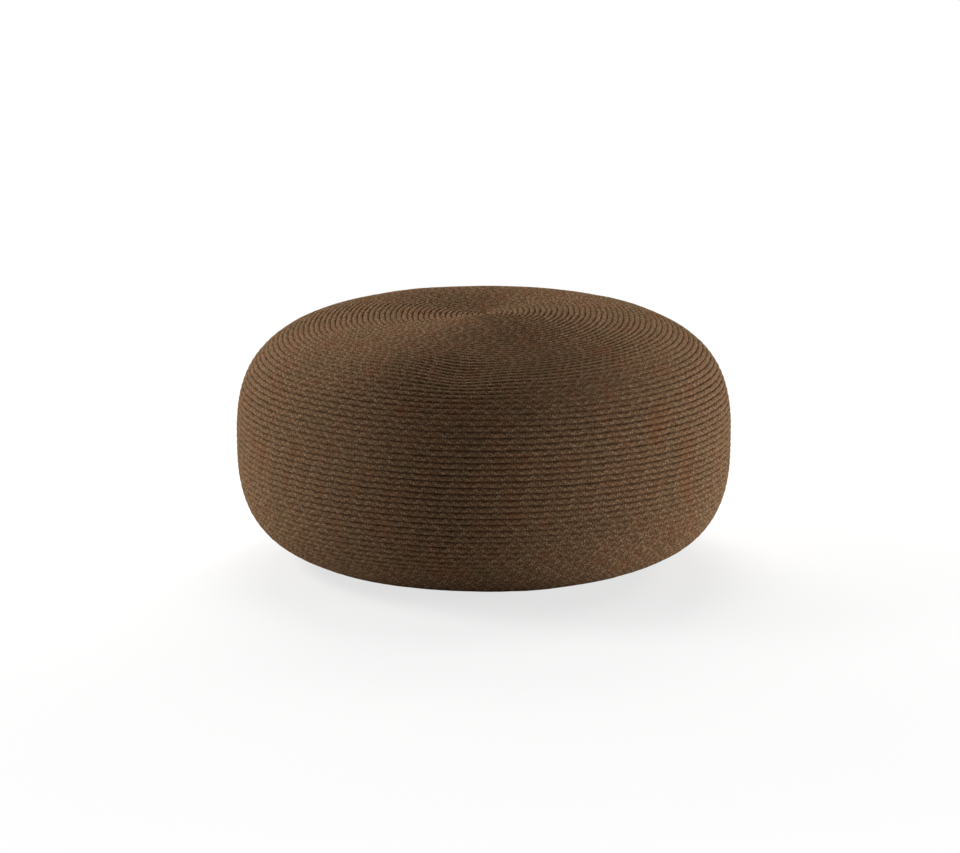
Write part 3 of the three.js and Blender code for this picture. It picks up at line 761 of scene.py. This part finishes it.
def turned_piece(name, profile, material, closed=False, follows=None, steps=192):
    """The profile is turned to run one way round, so that the swept faces look outwards."""
    follows = follows or [0.0] * len(profile)
    area = sum(a[0] * b[1] - b[0] * a[1] for a, b in zip(profile, profile[1:] + profile[:1]))
    if area > 0:
        profile, follows = profile[::-1], follows[::-1]
    start = line_object(name, [(radius, 0, height) for radius, height in profile])
    spline = start.data.splines[0]
    spline.use_cyclic_u = closed
    for point, share in zip(spline.points, follows):
        point.radius = 1 + share
    piece = make_piece(name, start, turned, Steps=steps, Material=material)
    print("volume", round(faces_out(piece.data) * 1000, 3), "litres")
    piece.data.set_sharp_from_angle(angle=sharp_angle)
    return piece


# %% [markdown]
# ## Finishes of the layers inside
#
# Wadding is a mat of loose white fibres, foam is a froth of open cells, and the firm slab is chips
# of old foam pressed together. Noise gives the fibres and Voronoi cells give the rest, all at their
# real sizes and read from the object's own coordinates, so a cut face shows them as a real one does.

# %% Foam and wadding
chip_colours = [(0.0, srgb(148, 150, 152)), (0.35, srgb(196, 192, 182)), (0.6, srgb(168, 176, 186)),
                (0.8, srgb(204, 184, 150)), (1.0, srgb(120, 122, 126))]


def cells(wires, place, size, output="Distance", feature="F1"):
    return wires.out("ShaderNodeTexVoronoi", {"Vector": place, "Scale": 1 / size}, output, feature=feature)


def open_cell_foam(name, light, dark, pore):
    wires = new_material(name)
    place = object_place(wires)
    walls = cells(wires, place, pore)
    patches = surface_noise(wires, place, 14.0, 3.0)
    share = patches * 0.3 + wires.mapped(walls, 0.1, 0.75, 0.75, 0.0)
    base = colour_ramp(wires, share, [(0.1, dark), (0.75, light)])
    return finished(wires, Base_Color=base, Roughness=wires.mapped(walls, 0.0, 1.0, 0.82, 0.97),
                    Normal=bumped(wires, walls, 0.5 * pore))


def pressed_chips(name, chip, pore):
    wires = new_material(name)
    place = object_place(wires)
    shift = surface_noise(wires, place, 90.0, output="Color")
    place = wires.vector("ADD", place, wires.scaled(shift, 5 * MM))
    edge = cells(wires, place, chip, feature="DISTANCE_TO_EDGE")
    tone = wires.parts(cells(wires, place, chip, "Color"))[0]
    pores = cells(wires, place, pore)
    base = wires.scaled(colour_ramp(wires, tone, chip_colours), wires.mapped(pores, 0.1, 0.8, 1.05, 0.7))
    height = wires.mapped(edge, 0.0, 0.08, 0.0, 1.0) * 1.5 + pores
    return finished(wires, Base_Color=base, Roughness=wires.mapped(pores, 0.0, 1.0, 0.85, 0.97),
                    Normal=bumped(wires, height, 0.5 * MM))


def loose_wadding(name):
    wires = new_material(name)
    place = object_place(wires)
    bends = surface_noise(wires, place, 60.0, output="Color")
    bent = wires.vector("MULTIPLY_ADD", bends, (0.02, 0.02, 0.02), place)
    strands = surface_noise(wires, wires.vector("MULTIPLY", bent, (900.0, 140.0, 500.0)), 1.0, 3.0, 0.6)
    height = surface_noise(wires, place, 45.0, 3.0) * 3.0 + strands
    base = colour_ramp(wires, strands, [(0.3, srgb(206, 203, 196)), (0.65, srgb(246, 245, 241))])
    return finished(wires, Base_Color=base, Roughness=wires.mapped(strands, 0.3, 0.7, 0.98, 0.86),
                    Normal=bumped(wires, height, 0.8 * MM), Sheen_Weight=0.2, Sheen_Roughness=0.6)


soft_foam = open_cell_foam("soft cream foam", srgb(238, 230, 205), srgb(176, 160, 118), 1.4 * MM)
firm_foam = pressed_chips("firm pressed foam", 9 * MM, 1.3 * MM)
wadding = loose_wadding("loose fibre wadding")

# %% [markdown]
# ## Woven finishes
#
# The liner, the webbing, the zip tapes and the coated mesh of the base are all plain weaves that
# differ in thread width, gaps and gloss. One helper works out a plain weave: which of the two
# threads is on top at a place, and how high it stands. Where both are away there is a hole. The
# holes and the low edges of the threads are given a dark colour, which is painted shade. The
# mesh could also be cut with real holes, but there would be sixty thousand of them in each half.

# %% Plain weave
thread_height = 0.65
thread_wave = 0.3


def plain_weave(wires, x, y, pitch, gap):
    """Height of a plain weave at a place, from 0 in the holes to 1, and 1 where the warp is on top."""
    x, y = x / pitch, y / pitch
    crossing = wires.math("PINGPONG", wires.math("FLOOR", x) + wires.math("FLOOR", y), 1.0)
    side = wires.mapped(crossing, 0.0, 1.0, -thread_wave, thread_wave)
    from_x, from_y = wires.math("FRACT", x) - 0.5, wires.math("FRACT", y) - 0.5

    def thread(across, along, sign):
        share = across / ((1 - gap) / 2)
        body = wires.math("SQRT", wires.math("MAXIMUM", 1.0 - share * share, 0.0))
        return body * (side * wires.math("COSINE", along * math.pi) * sign + thread_height)

    warp, weft = thread(from_x, from_y, 1.0), thread(from_y, from_x, -1.0)
    return wires.math("MAXIMUM", warp, weft), wires.math("GREATER_THAN", warp, weft)


def round_place(wires):
    """Object coordinates unrolled: the angle round the axis, the reach from it, and the height."""
    x, y, z = wires.parts(object_place(wires))
    return wires.math("ARCTAN2", y, x), wires.math("SQRT", x * x + y * y), z


def woven(wires, x, y, pitch, gap, warp, weft, hole, rough, depth, sheen=0.0):
    height, warp_on_top = plain_weave(wires, x, y, pitch, gap)
    wear = surface_noise(wires, object_place(wires), 60.0, 4.0)
    base = colour_mix(wires, warp_on_top, weft, warp)
    # Painted shade: where the threads fall away, in the holes and between threads, the colour turns to the
    # dark gap colour
    base = colour_mix(wires, wires.mapped(height, 0.0, 0.4, 1.0, 0.0), base, hole)
    base = wires.scaled(base, wires.mapped(wear, 0.3, 0.7, 0.85, 1.15))
    rough = wires.mapped(wear, 0.2, 0.8, rough - 0.08, rough + 0.08)
    return finished(wires, Base_Color=base, Roughness=rough, Normal=bumped(wires, wear * 0.1 + height, depth),
                    Sheen_Weight=sheen, Sheen_Roughness=0.5, Specular_IOR_Level=0.3)


def flat_weave(name, **look):
    wires = new_material(name)
    x, y, _ = wires.parts(object_place(wires))
    return woven(wires, x, y, **look)


def ring_weave(name, radius, **look):
    wires = new_material(name)
    angle, reach, _ = round_place(wires)
    return woven(wires, angle * radius, reach, **look)


def bag_weave(name, radius, seam_height, **look):
    """Cut as a flat disc for the crown and the base, and as a band for the side."""
    wires = new_material(name)
    angle, _, z = round_place(wires)
    x, y, _ = wires.parts(object_place(wires))
    on_side = wires.math("COMPARE", z, seam_height / 2, seam_height / 2)
    x = number_mix(wires, on_side, x, angle * radius)
    return woven(wires, x, number_mix(wires, on_side, y, z), **look)


# The liner is a dark brown-grey: a real liner colour, made dark so that it also stands as painted shade where
# it shows through gaps in the base
liner_cloth = bag_weave(
    "liner cloth", radius=body_radius, seam_height=0.31, pitch=0.6 * MM, gap=0.05, rough=0.85,
    depth=0.15 * MM, sheen=0.1, warp=srgb(88, 77, 66), weft=srgb(80, 70, 60), hole=srgb(44, 38, 32))
coated_mesh = flat_weave(
    "coated mesh", pitch=1.5 * MM, gap=0.3, rough=0.55, depth=0.5 * MM,
    warp=srgb(58, 50, 43), weft=srgb(50, 43, 37), hole=srgb(12, 10, 9))
tape_cloth = flat_weave(
    "zip tape", pitch=0.7 * MM, gap=0.0, rough=0.75, depth=0.2 * MM, sheen=0.1,
    warp=srgb(70, 57, 46), weft=srgb(60, 48, 39), hole=srgb(30, 24, 19))
webbing = ring_weave(
    "binding webbing", radius=0.19, pitch=1.1 * MM, gap=0.0, rough=0.8, depth=0.4 * MM, sheen=0.1,
    warp=srgb(68, 56, 46), weft=srgb(54, 44, 36), hole=srgb(24, 19, 15))

# %% Fill the cover
foam_share = 0.7
liner_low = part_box("liner_top")[0].z
foam_low, slab_top = (corner.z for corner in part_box("foam_base_slab"))
pad_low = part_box("foam_crown_pad")[0].z
core_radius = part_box("foam_core_upper")[1].x
core_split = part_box("foam_core_upper")[0].z
gap = 0.3 * MM
cloth_thickness = 0.8 * MM
wadding_thickness = 10 * MM
liner_depth = cord_diameter + gap
wadding_depth = liner_depth + cloth_thickness + gap
foam_depth = wadding_depth + wadding_thickness + gap

bag_out = down_to(offset_line(liner_depth), liner_low)
bag_in = down_to(offset_line(liner_depth + cloth_thickness), liner_low)
liner_bag = turned_piece("liner_bag", bag_out + bag_in[::-1], liner_cloth,
                         follows=[1.0] * len(bag_out) + [-1.0] * len(bag_in))
belongs(liner_bag, "liner_top")
bag_area = sum(math.pi * (a[0] + b[0]) * math.dist(a, b) for a, b in zip(bag_out, bag_out[1:]))

base_radius = bag_in[-1][0] - gap
base_top = liner_low + cloth_thickness
base_profile = [(0, base_top), (base_radius / 2, base_top), (base_radius, base_top),
                (base_radius, liner_low), (base_radius / 2, liner_low), (0, liner_low)]
liner_disc = turned_piece("liner_base_disc", base_profile, liner_cloth)
belongs(liner_disc, "liner_base")
2 * base_radius
2 * base_radius
math.pi * base_radius**2

coat_out = down_to(offset_line(wadding_depth), foam_low)
foam_edge = coat_out[-1][0] - wadding_thickness
coat_in = stepped_in(offset_line(wadding_depth + wadding_thickness), foam_edge, foam_low)
wadding_coat = turned_piece("wadding_coat", coat_out + coat_in[::-1], wadding,
                            follows=[1.0] * len(coat_out) + [-foam_share] * len(coat_in))
belongs(wadding_coat, "fibre_wrap")

# %% Foam block
block = stepped_in(offset_line(foam_depth), foam_edge - gap, foam_low)
pad_line = down_to(block, pad_low)
rim_line = between_heights(block, pad_low - gap, slab_top + gap)
slab_line = between_heights(block, slab_top, foam_low + gap) + [(foam_edge - gap, foam_low)]
rim_inner = core_radius + gap


def disc_profile(high, low):
    return [(0, high), (core_radius, high), (core_radius, low), (0, low)]


foam_pieces = {
    "foam_top_pad": ("foam_crown_pad", soft_foam, pad_line + [(0, pad_low)]),
    "foam_side_ring": ("foam_rim", soft_foam,
                       [(rim_inner, pad_low - gap)] + rim_line + [(rim_inner, slab_top + gap)]),
    "foam_upper_disc": ("foam_core_upper", soft_foam, disc_profile(pad_low - gap, core_split)),
    "foam_lower_disc": ("foam_core_lower", soft_foam, disc_profile(core_split - gap, slab_top + gap)),
    "foam_firm_slab": ("foam_base_slab", firm_foam, [(0, slab_top)] + slab_line + [(0, foam_low)]),
}
for name, (node, material, profile) in foam_pieces.items():
    follows = [foam_share] * (len(profile) - 1) + [0.0] if name == "foam_top_pad" else None
    foam = turned_piece(name, profile, material, name == "foam_side_ring", follows, steps=128)
    belongs(foam, node)

# %% [markdown]
# ## The base
#
# Turned over, the pouf shows a disc of coated mesh inside the last row of cord, slit across the
# middle for the zip. Each half is a sheet, laid out as a grid that runs from the slit to the rim, so
# it has no thin slivers. Cloth simulation lets it hang from its sewn edges by a few millimetres and
# gives the small ripples that a sewn-in base has. The sewn edges are pinned, and no point may move
# further than the room above the floor allows.

# %% Shape of a base half
slider_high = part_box("zip_slider")[1]
stop_low, stop_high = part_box("zip_top_stop_rear")
panel_low, panel_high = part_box("base_panel_rear")
tape_low, tape_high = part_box("zip_tape_rear")
panel_radius = panel_high.x
slit_half_width = slider_high.y + 2 * gap
slit_half_length = slider_high.x + (stop_high.x - stop_low.x) + slit_half_width
panel_columns = 150
panel_rows = 44
just_inside = 1 - 1e-6
print("slit", round(2 * slit_half_length, 4), "by", round(2 * slit_half_width, 4), "m")


def grid_faces(columns, rows, closed=False):
    """Quads between points that are listed column by column. A closed column runs back to its start."""
    last = rows if closed else rows - 1
    return [(i * rows + j, (i + 1) * rows + j, (i + 1) * rows + (j + 1) % rows, i * rows + (j + 1) % rows)
            for i in range(columns - 1) for j in range(last)]


def mesh_piece(name, points, faces, material):
    mesh = bpy.data.meshes.new(name)
    mesh.from_pydata(points, [], faces)
    mesh.materials.append(material)
    print(name, len(faces), "faces")
    return in_scene(name, mesh)


def smoothed(piece, angle=sharp_angle):
    piece.data.shade_smooth()
    piece.data.set_sharp_from_angle(angle=angle)


def slit_edge(x):
    """Distance of a half's inner edge from the middle: round at the slit's ends, then the seam."""
    past = abs(x) - (slit_half_length - slit_half_width)
    if past <= 0:
        return slit_half_width
    return max(gap / 2, math.sqrt(max(0.0, slit_half_width**2 - past**2)))


def base_half(name, side):
    level = (panel_low.z + panel_high.z) / 2
    points = []
    for i in range(panel_columns + 1):
        x = panel_radius * math.sin(math.pi * (i / panel_columns - 0.5)) * just_inside
        inner = slit_edge(x)
        outer = max(math.sqrt(panel_radius**2 - x**2), inner)
        for j in range(panel_rows + 1):
            points.append((side * x, side * (inner + (outer - inner) * j / panel_rows), level))
    return mesh_piece(name, points, grid_faces(panel_columns + 1, panel_rows + 1), coated_mesh)


# %% Let the base halves hang
most_sag = 3.2 * MM
sewn_reach = 175.5 * MM
cloth_frames = 22
cloth_settings = {
    "vertex_group_mass": "sewn", "mass": 0.002, "quality": 6, "tension_stiffness": 40,
    "compression_stiffness": 12, "bending_stiffness": 0.05, "shrink_min": -0.002,
}


def apply_all(piece):
    """Leaves only the mesh that the piece's modifiers make."""
    mesh = applied(piece)
    piece.modifiers.clear()
    piece.vertex_groups.clear()
    piece.data = mesh


def hang(piece):
    """Cloth simulation with the sewn edges held, then no point further down than there is room."""
    flat = [vertex.co.copy() for vertex in piece.data.vertices]
    sewn = [i for i, co in enumerate(flat) if math.hypot(co.x, co.y) > sewn_reach or abs(co.y) < tape_high.y]
    piece.vertex_groups.new(name="sewn").add(sewn, 1.0, "REPLACE")
    cloth = piece.modifiers.new("cloth", "CLOTH")
    for key, value in cloth_settings.items():
        setattr(cloth.settings, key, value)
    cloth.point_cache.frame_start, cloth.point_cache.frame_end = 1, cloth_frames
    for frame_number in range(1, cloth_frames + 1):
        bpy.context.scene.frame_set(frame_number)
    apply_all(piece)
    bpy.context.scene.frame_set(1)
    lowest = 0.0
    for vertex, start in zip(piece.data.vertices, flat):
        sag = most_sag * math.tanh((start.z - vertex.co.z) / most_sag)
        vertex.co.z = start.z - sag
        lowest = max(lowest, sag)
    print(piece.name, "hangs", round(lowest * 1000, 2), "mm")


for label, side in (("rear", 1), ("front", -1)):
    half = base_half(f"base_mesh_{label}", side)
    hang(half)
    thick = half.modifiers.new("thickness", "SOLIDIFY")
    thick.thickness = panel_high.z - panel_low.z
    thick.offset = 0
    apply_all(half)
    smoothed(half)
    belongs(half, f"base_panel_{label}")

# %% [markdown]
# ## Binding and zip tapes
#
# A band of webbing covers the base's cut edge where it is sewn to the cord, and lies over the ends
# of the zip's tapes. The ring is turned like the layers and lifted where the tapes pass under it.
# The tapes are strips with a thicker woven edge along the teeth.

# %% Webbing ring
band_low, band_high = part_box("seam_binding")
band_width = 14 * MM
edge_round = 0.4 * MM
lift_start = tape_high.y + 2.5 * MM
lift_run = 2 * MM


def band_profile():
    """A rectangle with rounded corners, four points to each."""
    low, high = band_low.z + edge_round, band_high.z - edge_round
    inner, outer = band_high.x - band_width + edge_round, band_high.x - edge_round
    points = []
    for k, (x, z) in enumerate([(inner, low), (outer, low), (outer, high), (inner, high)]):
        for i in range(4):
            turn = math.pi / 2 * (k + 2 + i / 3)
            points.append((x + edge_round * math.cos(turn), z + edge_round * math.sin(turn)))
    return points


band = turned_piece("binding_band", band_profile(), webbing, closed=True, steps=360)
for vertex in band.data.vertices:
    near = max(0.0, min(1.0, (lift_start - abs(vertex.co.y)) / lift_run))
    share = (band_high.z - vertex.co.z) / (band_high.z - band_low.z)
    vertex.co.z += near * share * (tape_high.z + gap - band_low.z)
belongs(band, "seam_binding")

# %% Zip tapes
tape_steps = 96
tape_width_shares = [0.0, 0.03, 0.1, 0.13, 0.3, 0.5, 0.7, 0.87, 0.9, 0.97, 1.0]
tape_height_shares = [0.7, 1.0, 1.0, 0.8, 0.8, 0.8, 0.8, 0.8, 0.95, 0.95, 0.7]


def zip_tape(name, side):
    """A strip with a rib at the teeth's side and one near its outer edge."""
    width, thick = tape_high.y - tape_low.y, tape_high.z - tape_low.z
    section = list(zip(tape_width_shares, tape_height_shares))
    section += [(share, 0.0) for share in tape_width_shares[::-1]]
    points = []
    for i in range(tape_steps + 1):
        x = tape_low.x + (tape_high.x - tape_low.x) * i / tape_steps
        for share, height in section:
            points.append((x, side * (tape_low.y + share * width), tape_low.z + height * thick))
    count = len(section)
    faces = grid_faces(tape_steps + 1, count, closed=True)
    faces += [tuple(range(count)), tuple(tape_steps * count + j for j in reversed(range(count)))]
    tape = mesh_piece(name, points, faces, tape_cloth)
    faces_out(tape.data)
    smoothed(tape)
    return tape


for label, side in (("rear", 1), ("front", -1)):
    tape = zip_tape(f"{label}_zip_tape", side)
    belongs(tape, f"zip_tape_{label}")

# %% [markdown]
# ## Stitches
#
# The thread that sews the zip into the base and the band over its rim shows as rows of small
# stitches. Geometry Nodes set one short arched stitch at even steps along a line, which takes far
# less work than modelling each.

# %% Stitch tree
def stitch_tree():
    tree, wires, inputs = geometry_tree("sewn_stitches", Pitch=3.6 * MM, Length=2.8 * MM, Thread=0.22 * MM,
                                        Rise=0.3 * MM, Material=unset_material)
    steps = {0: inputs["Geometry"], "Length": inputs["Pitch"]}
    line = wires.out("GeometryNodeResampleCurve", steps, mode="LENGTH")
    stitch = wires.out("GeometryNodeCurvePrimitiveLine", {"Start": (-0.5, 0, 0), "End": (0.5, 0, 0)})
    stitch = wires.out("GeometryNodeResampleCurve", {0: stitch, "Count": 5})
    x, _, _ = wires.parts(wires.out("GeometryNodeInputPosition"))
    # Nine tenths of the rise in the middle, and the ends a tenth of it into the cloth
    arch = (x * x * -4.0 + 0.9) * inputs["Rise"]
    stitch = moved_to(wires, stitch, wires.joined(x * inputs["Length"], 0.0, arch))
    size = {"Resolution": 6, "Radius": inputs["Thread"]}
    ring = wires.out("GeometryNodeCurvePrimitiveCircle", size, "Curve")
    sweep = {"Curve": stitch, "Profile Curve": ring, "Fill Caps": True}
    stitch = wires.out("GeometryNodeCurveToMesh", sweep)
    turn = wires.out("FunctionNodeAlignRotationToVector", {"Vector": wires.out("GeometryNodeInputTangent")},
                     axis="X", pivot_axis="Z")
    row = {"Points": line, "Instance": stitch, "Rotation": turn}
    end_tree(wires, wires.out("GeometryNodeInstanceOnPoints", row), inputs["Material"])
    return tree


def thread_material(name, colour, twist):
    """Twisted thread: slanted lines of painted shade between the plies."""
    wires = new_material(name)
    x, y, z = wires.parts(object_place(wires))
    ply = wires.math("SINE", (x + y + z * 1.5) * (2 * math.pi / twist))
    return finished(wires, Base_Color=wires.scaled(colour[:3], wires.mapped(ply, -1.0, 1.0, 0.6, 1.1)),
                    Roughness=wires.mapped(ply, -1.0, 1.0, 0.7, 0.5), Normal=bumped(wires, ply, 0.05 * MM))


stitches = stitch_tree()
sewing_thread = thread_material("sewing thread", srgb(92, 74, 58), 0.5 * MM)


# %% Sew the base
stitch_rise = 0.3 * MM
zip_seams = (10.0 * MM, 14.5 * MM)
band_seams = (3.0 * MM, 11.0 * MM)
circle_steps = 180


def sew(name, points, rise, closed=False):
    """Stitches along a line, arched up on an upper side or down on a lower one."""
    start = line_object(name, points)
    start.data.splines[0].use_cyclic_u = closed
    row = make_piece(name, start, stitches, Rise=rise, Material=sewing_thread)
    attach(row, "pouf")


def circle_points(radius, height):
    turns = [2 * math.pi * i / circle_steps for i in range(circle_steps)]
    return [(radius * math.cos(turn), radius * math.sin(turn), height) for turn in turns]


slit_run = slit_half_length - slit_half_width
for label, side in (("rear", 1), ("front", -1)):
    for row, aside in enumerate(zip_seams, 1):
        ends = [(x, side * aside, panel_low.z) for x in (-slit_run, slit_run)]
        sew(f"zip_stitches_{label}_{row}", ends, -stitch_rise)
for row, inset in enumerate(band_seams, 1):
    sew(f"band_stitches_{row}", circle_points(band_high.x - inset, band_high.z), stitch_rise, closed=True)

# %% [markdown]
# ## Zip metal and teeth
#
# The slider, its pull, the stops and the teeth are rigid, so their exact shapes come from the packed
# model. A real casting has no knife edges, though, and it is the narrow rounded edge that catches
# light. So each shape is copied, its doubled corners are merged, and its edges are bevelled by a
# tenth of a millimetre or so.

# %% Metal and moulded plastic
def aged_metal(name, clean, dull):
    wires = new_material(name)
    place = object_place(wires)
    patina = surface_noise(wires, place, 900.0, 6.0, 0.7)
    scratches = surface_noise(wires, wires.vector("MULTIPLY", place, (400.0, 5200.0, 900.0)), 1.0)
    rough = scratches * 0.15 + wires.mapped(patina, 0.35, 0.6, 0.42, 0.24)
    return finished(wires, Base_Color=colour_ramp(wires, patina, [(0.35, dull), (0.6, clean)]), Metallic=0.92,
                    Roughness=rough, Normal=bumped(wires, scratches * 0.3 + patina, 0.03 * MM))


def moulded_plastic(name, colour, worn):
    wires = new_material(name)
    place = object_place(wires)
    mould = surface_noise(wires, place, 1500.0, 3.0)
    rubbed = surface_noise(wires, place, 90.0, 4.0)
    rough = mould * 0.12 + wires.mapped(rubbed, 0.3, 0.7, 0.4, 0.26)
    return finished(wires, Base_Color=colour_ramp(wires, rubbed, [(0.4, colour), (0.75, worn)]),
                    Roughness=rough, Normal=bumped(wires, mould, 0.02 * MM))


zip_metal = aged_metal("aged zip metal", srgb(146, 138, 126), srgb(118, 110, 99))
tooth_plastic = moulded_plastic("moulded zip plastic", srgb(48, 39, 33), srgb(70, 59, 50))


# %% Rounded copies of the rigid pieces
flat_angle = math.radians(0.5)
bevelled_angle = math.radians(28)


def bevelled(name, node, width, material):
    """A copy of a CAD node's shape with its edges rounded off."""
    work = bmesh.new()
    work.from_mesh(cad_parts[node].data)
    bmesh.ops.remove_doubles(work, verts=work.verts, dist=0.001 * MM)
    before = work.calc_volume()
    bmesh.ops.dissolve_limit(work, angle_limit=flat_angle, verts=work.verts, edges=work.edges)
    edges = [edge for edge in work.edges
             if len(edge.link_faces) == 2 and edge.calc_face_angle() > bevelled_angle]
    bmesh.ops.bevel(work, geom=edges, offset=width, segments=2, profile=0.6, affect="EDGES",
                    clamp_overlap=True)
    bmesh.ops.remove_doubles(work, verts=work.verts, dist=0.0005 * MM)
    bmesh.ops.triangulate(work, faces=[face for face in work.faces if len(face.verts) > 4])
    mesh = bpy.data.meshes.new(name)
    work.to_mesh(mesh)
    print(name, len(work.faces), "faces, volume share", round(work.calc_volume() / before, 4),
          "open edges", sum(len(edge.link_faces) != 2 for edge in work.edges))
    work.free()
    mesh.materials.clear()
    mesh.materials.append(material)
    piece = in_scene(name, mesh)
    smoothed(piece, math.radians(35))
    return piece


zip_pieces = {
    "slider_body": ("zip_slider", 0.14 * MM, zip_metal, "zip_metal", "slider"),
    "slider_pull": ("zip_pull", 0.16 * MM, zip_metal, "zip_metal", "pull"),
    "top_stop_rear": ("zip_top_stop_rear", 0.2 * MM, zip_metal, "zip_metal", "pouf"),
    "top_stop_front": ("zip_top_stop_front", 0.2 * MM, zip_metal, "zip_metal", "pouf"),
    "bottom_stop": ("zip_bottom_stop", 0.2 * MM, zip_metal, "zip_metal", "pouf"),
    "teeth_rear": ("zip_teeth_rear", 0.12 * MM, tooth_plastic, "zip_teeth", "pouf"),
    "teeth_front": ("zip_teeth_front", 0.12 * MM, tooth_plastic, "zip_teeth", "pouf"),
}
for name, (node, width, material, slot, body) in zip_pieces.items():
    belongs(bevelled(name, node, width, material), node, body)

# %% [markdown]
# ## Floor, backdrop and light
#
# The picture is a cut-out on pure white. Here a pale floor stands in for it. Where only the camera,
# a mirror or glass looks at it, it glows evenly white, and it still takes a soft shadow near the
# pouf. The lamps are wide and soft. Two stand low at the sides, as the bright left and right edges in
# the picture show. The others stand higher: one right of the back, a long one behind, one left, a weak
# one above and a weak one left of the front. The front itself faces no lamp, so its rows stay dim.

# %% Floor and world
floor_half = 30.0
shadow_start = 0.3
shadow_reach = 1.6
shadow_glow = 0.72
ambient_level = 0.005
white = (1.0, 1.0, 1.0, 1.0)


def seen_directly(wires):
    path = wires.add("ShaderNodeLightPath").outputs
    camera_ray, glossy_ray, clear_ray = (
        Value(wires, path[key]) for key in ("Is Camera Ray", "Is Glossy Ray", "Is Transmission Ray"))
    return wires.math("MAXIMUM", wires.math("MAXIMUM", camera_ray, glossy_ray), clear_ray)


def floor_material():
    wires = new_material("pale studio floor")
    _, reach, _ = round_place(wires)
    glow = wires.mapped(reach, shadow_start, shadow_reach, shadow_glow, 1.0) * seen_directly(wires)
    paint = wires.out("ShaderNodeBsdfDiffuse", {"Color": srgb(244, 243, 241)})
    shine = wires.out("ShaderNodeEmission", {"Color": white, "Strength": 1.0})
    mix = wires.out("ShaderNodeMixShader", {0: glow, 1: paint, 2: shine})
    wires.add("ShaderNodeOutputMaterial", {"Surface": mix})
    return wires.material


floor_corners = [(x * floor_half, y * floor_half, 0) for x, y in ((-1, -1), (1, -1), (1, 1), (-1, 1))]
floor = mesh_piece("floor", floor_corners, [(0, 1, 2, 3)], floor_material())

world = bpy.data.worlds.new("studio")
bpy.context.scene.world = world
world.use_nodes = True
world.node_tree.nodes.clear()
sky = Wires(world.node_tree)
ambient = sky.mapped(seen_directly(sky), 0.0, 1.0, ambient_level, 1.0)
background = sky.out("ShaderNodeBackground", {"Color": white, "Strength": ambient})
sky.add("ShaderNodeOutputWorld", {"Surface": background})


# %% Lamps
lamp_distance = 3.0
lamps = {
    "lamp_right": (80, 3, 1.2, 0.66, 0.82),
    "lamp_right_behind": (130, 18, 1.2, 1.0, 0.48),
    "lamp_behind": (182, 34, 2.4, 1.0, 1.0),
    "lamp_above": (180, 65, 1.2, 1.0, 0.25),
    "lamp_left": (260, 3, 1.2, 0.66, 0.36),
    "lamp_left_high": (260, 34, 1.2, 1.0, 0.58),
    "lamp_left_front": (290, 34, 1.2, 1.0, 0.14),
}


def soft_lamp(name, azimuth, elevation, width, height, level):
    """An area lamp aimed at the pouf. The azimuth counts from the camera's side towards the right.
    At level 1 it alone would show a white wall that faces it as white."""
    data = bpy.data.lights.new(name, "AREA")
    data.shape = "RECTANGLE"
    data.size, data.size_y = width, height
    data.energy = level * (math.pi * lamp_distance) ** 2
    turn, lift = math.radians(azimuth), math.radians(elevation)
    aside = Vector((math.sin(turn) * math.cos(lift), -math.cos(turn) * math.cos(lift), math.sin(lift)))
    lamp = in_scene(name, data)
    lamp.location = Vector((0, 0, equator_height)) + aside * lamp_distance
    lamp.rotation_euler = aside.to_track_quat("Z", "Y").to_euler()


for name, setting in lamps.items():
    soft_lamp(name, *setting)
bpy.context.scene.view_settings.view_transform = "Standard"
print(len(lamps), "lamps")
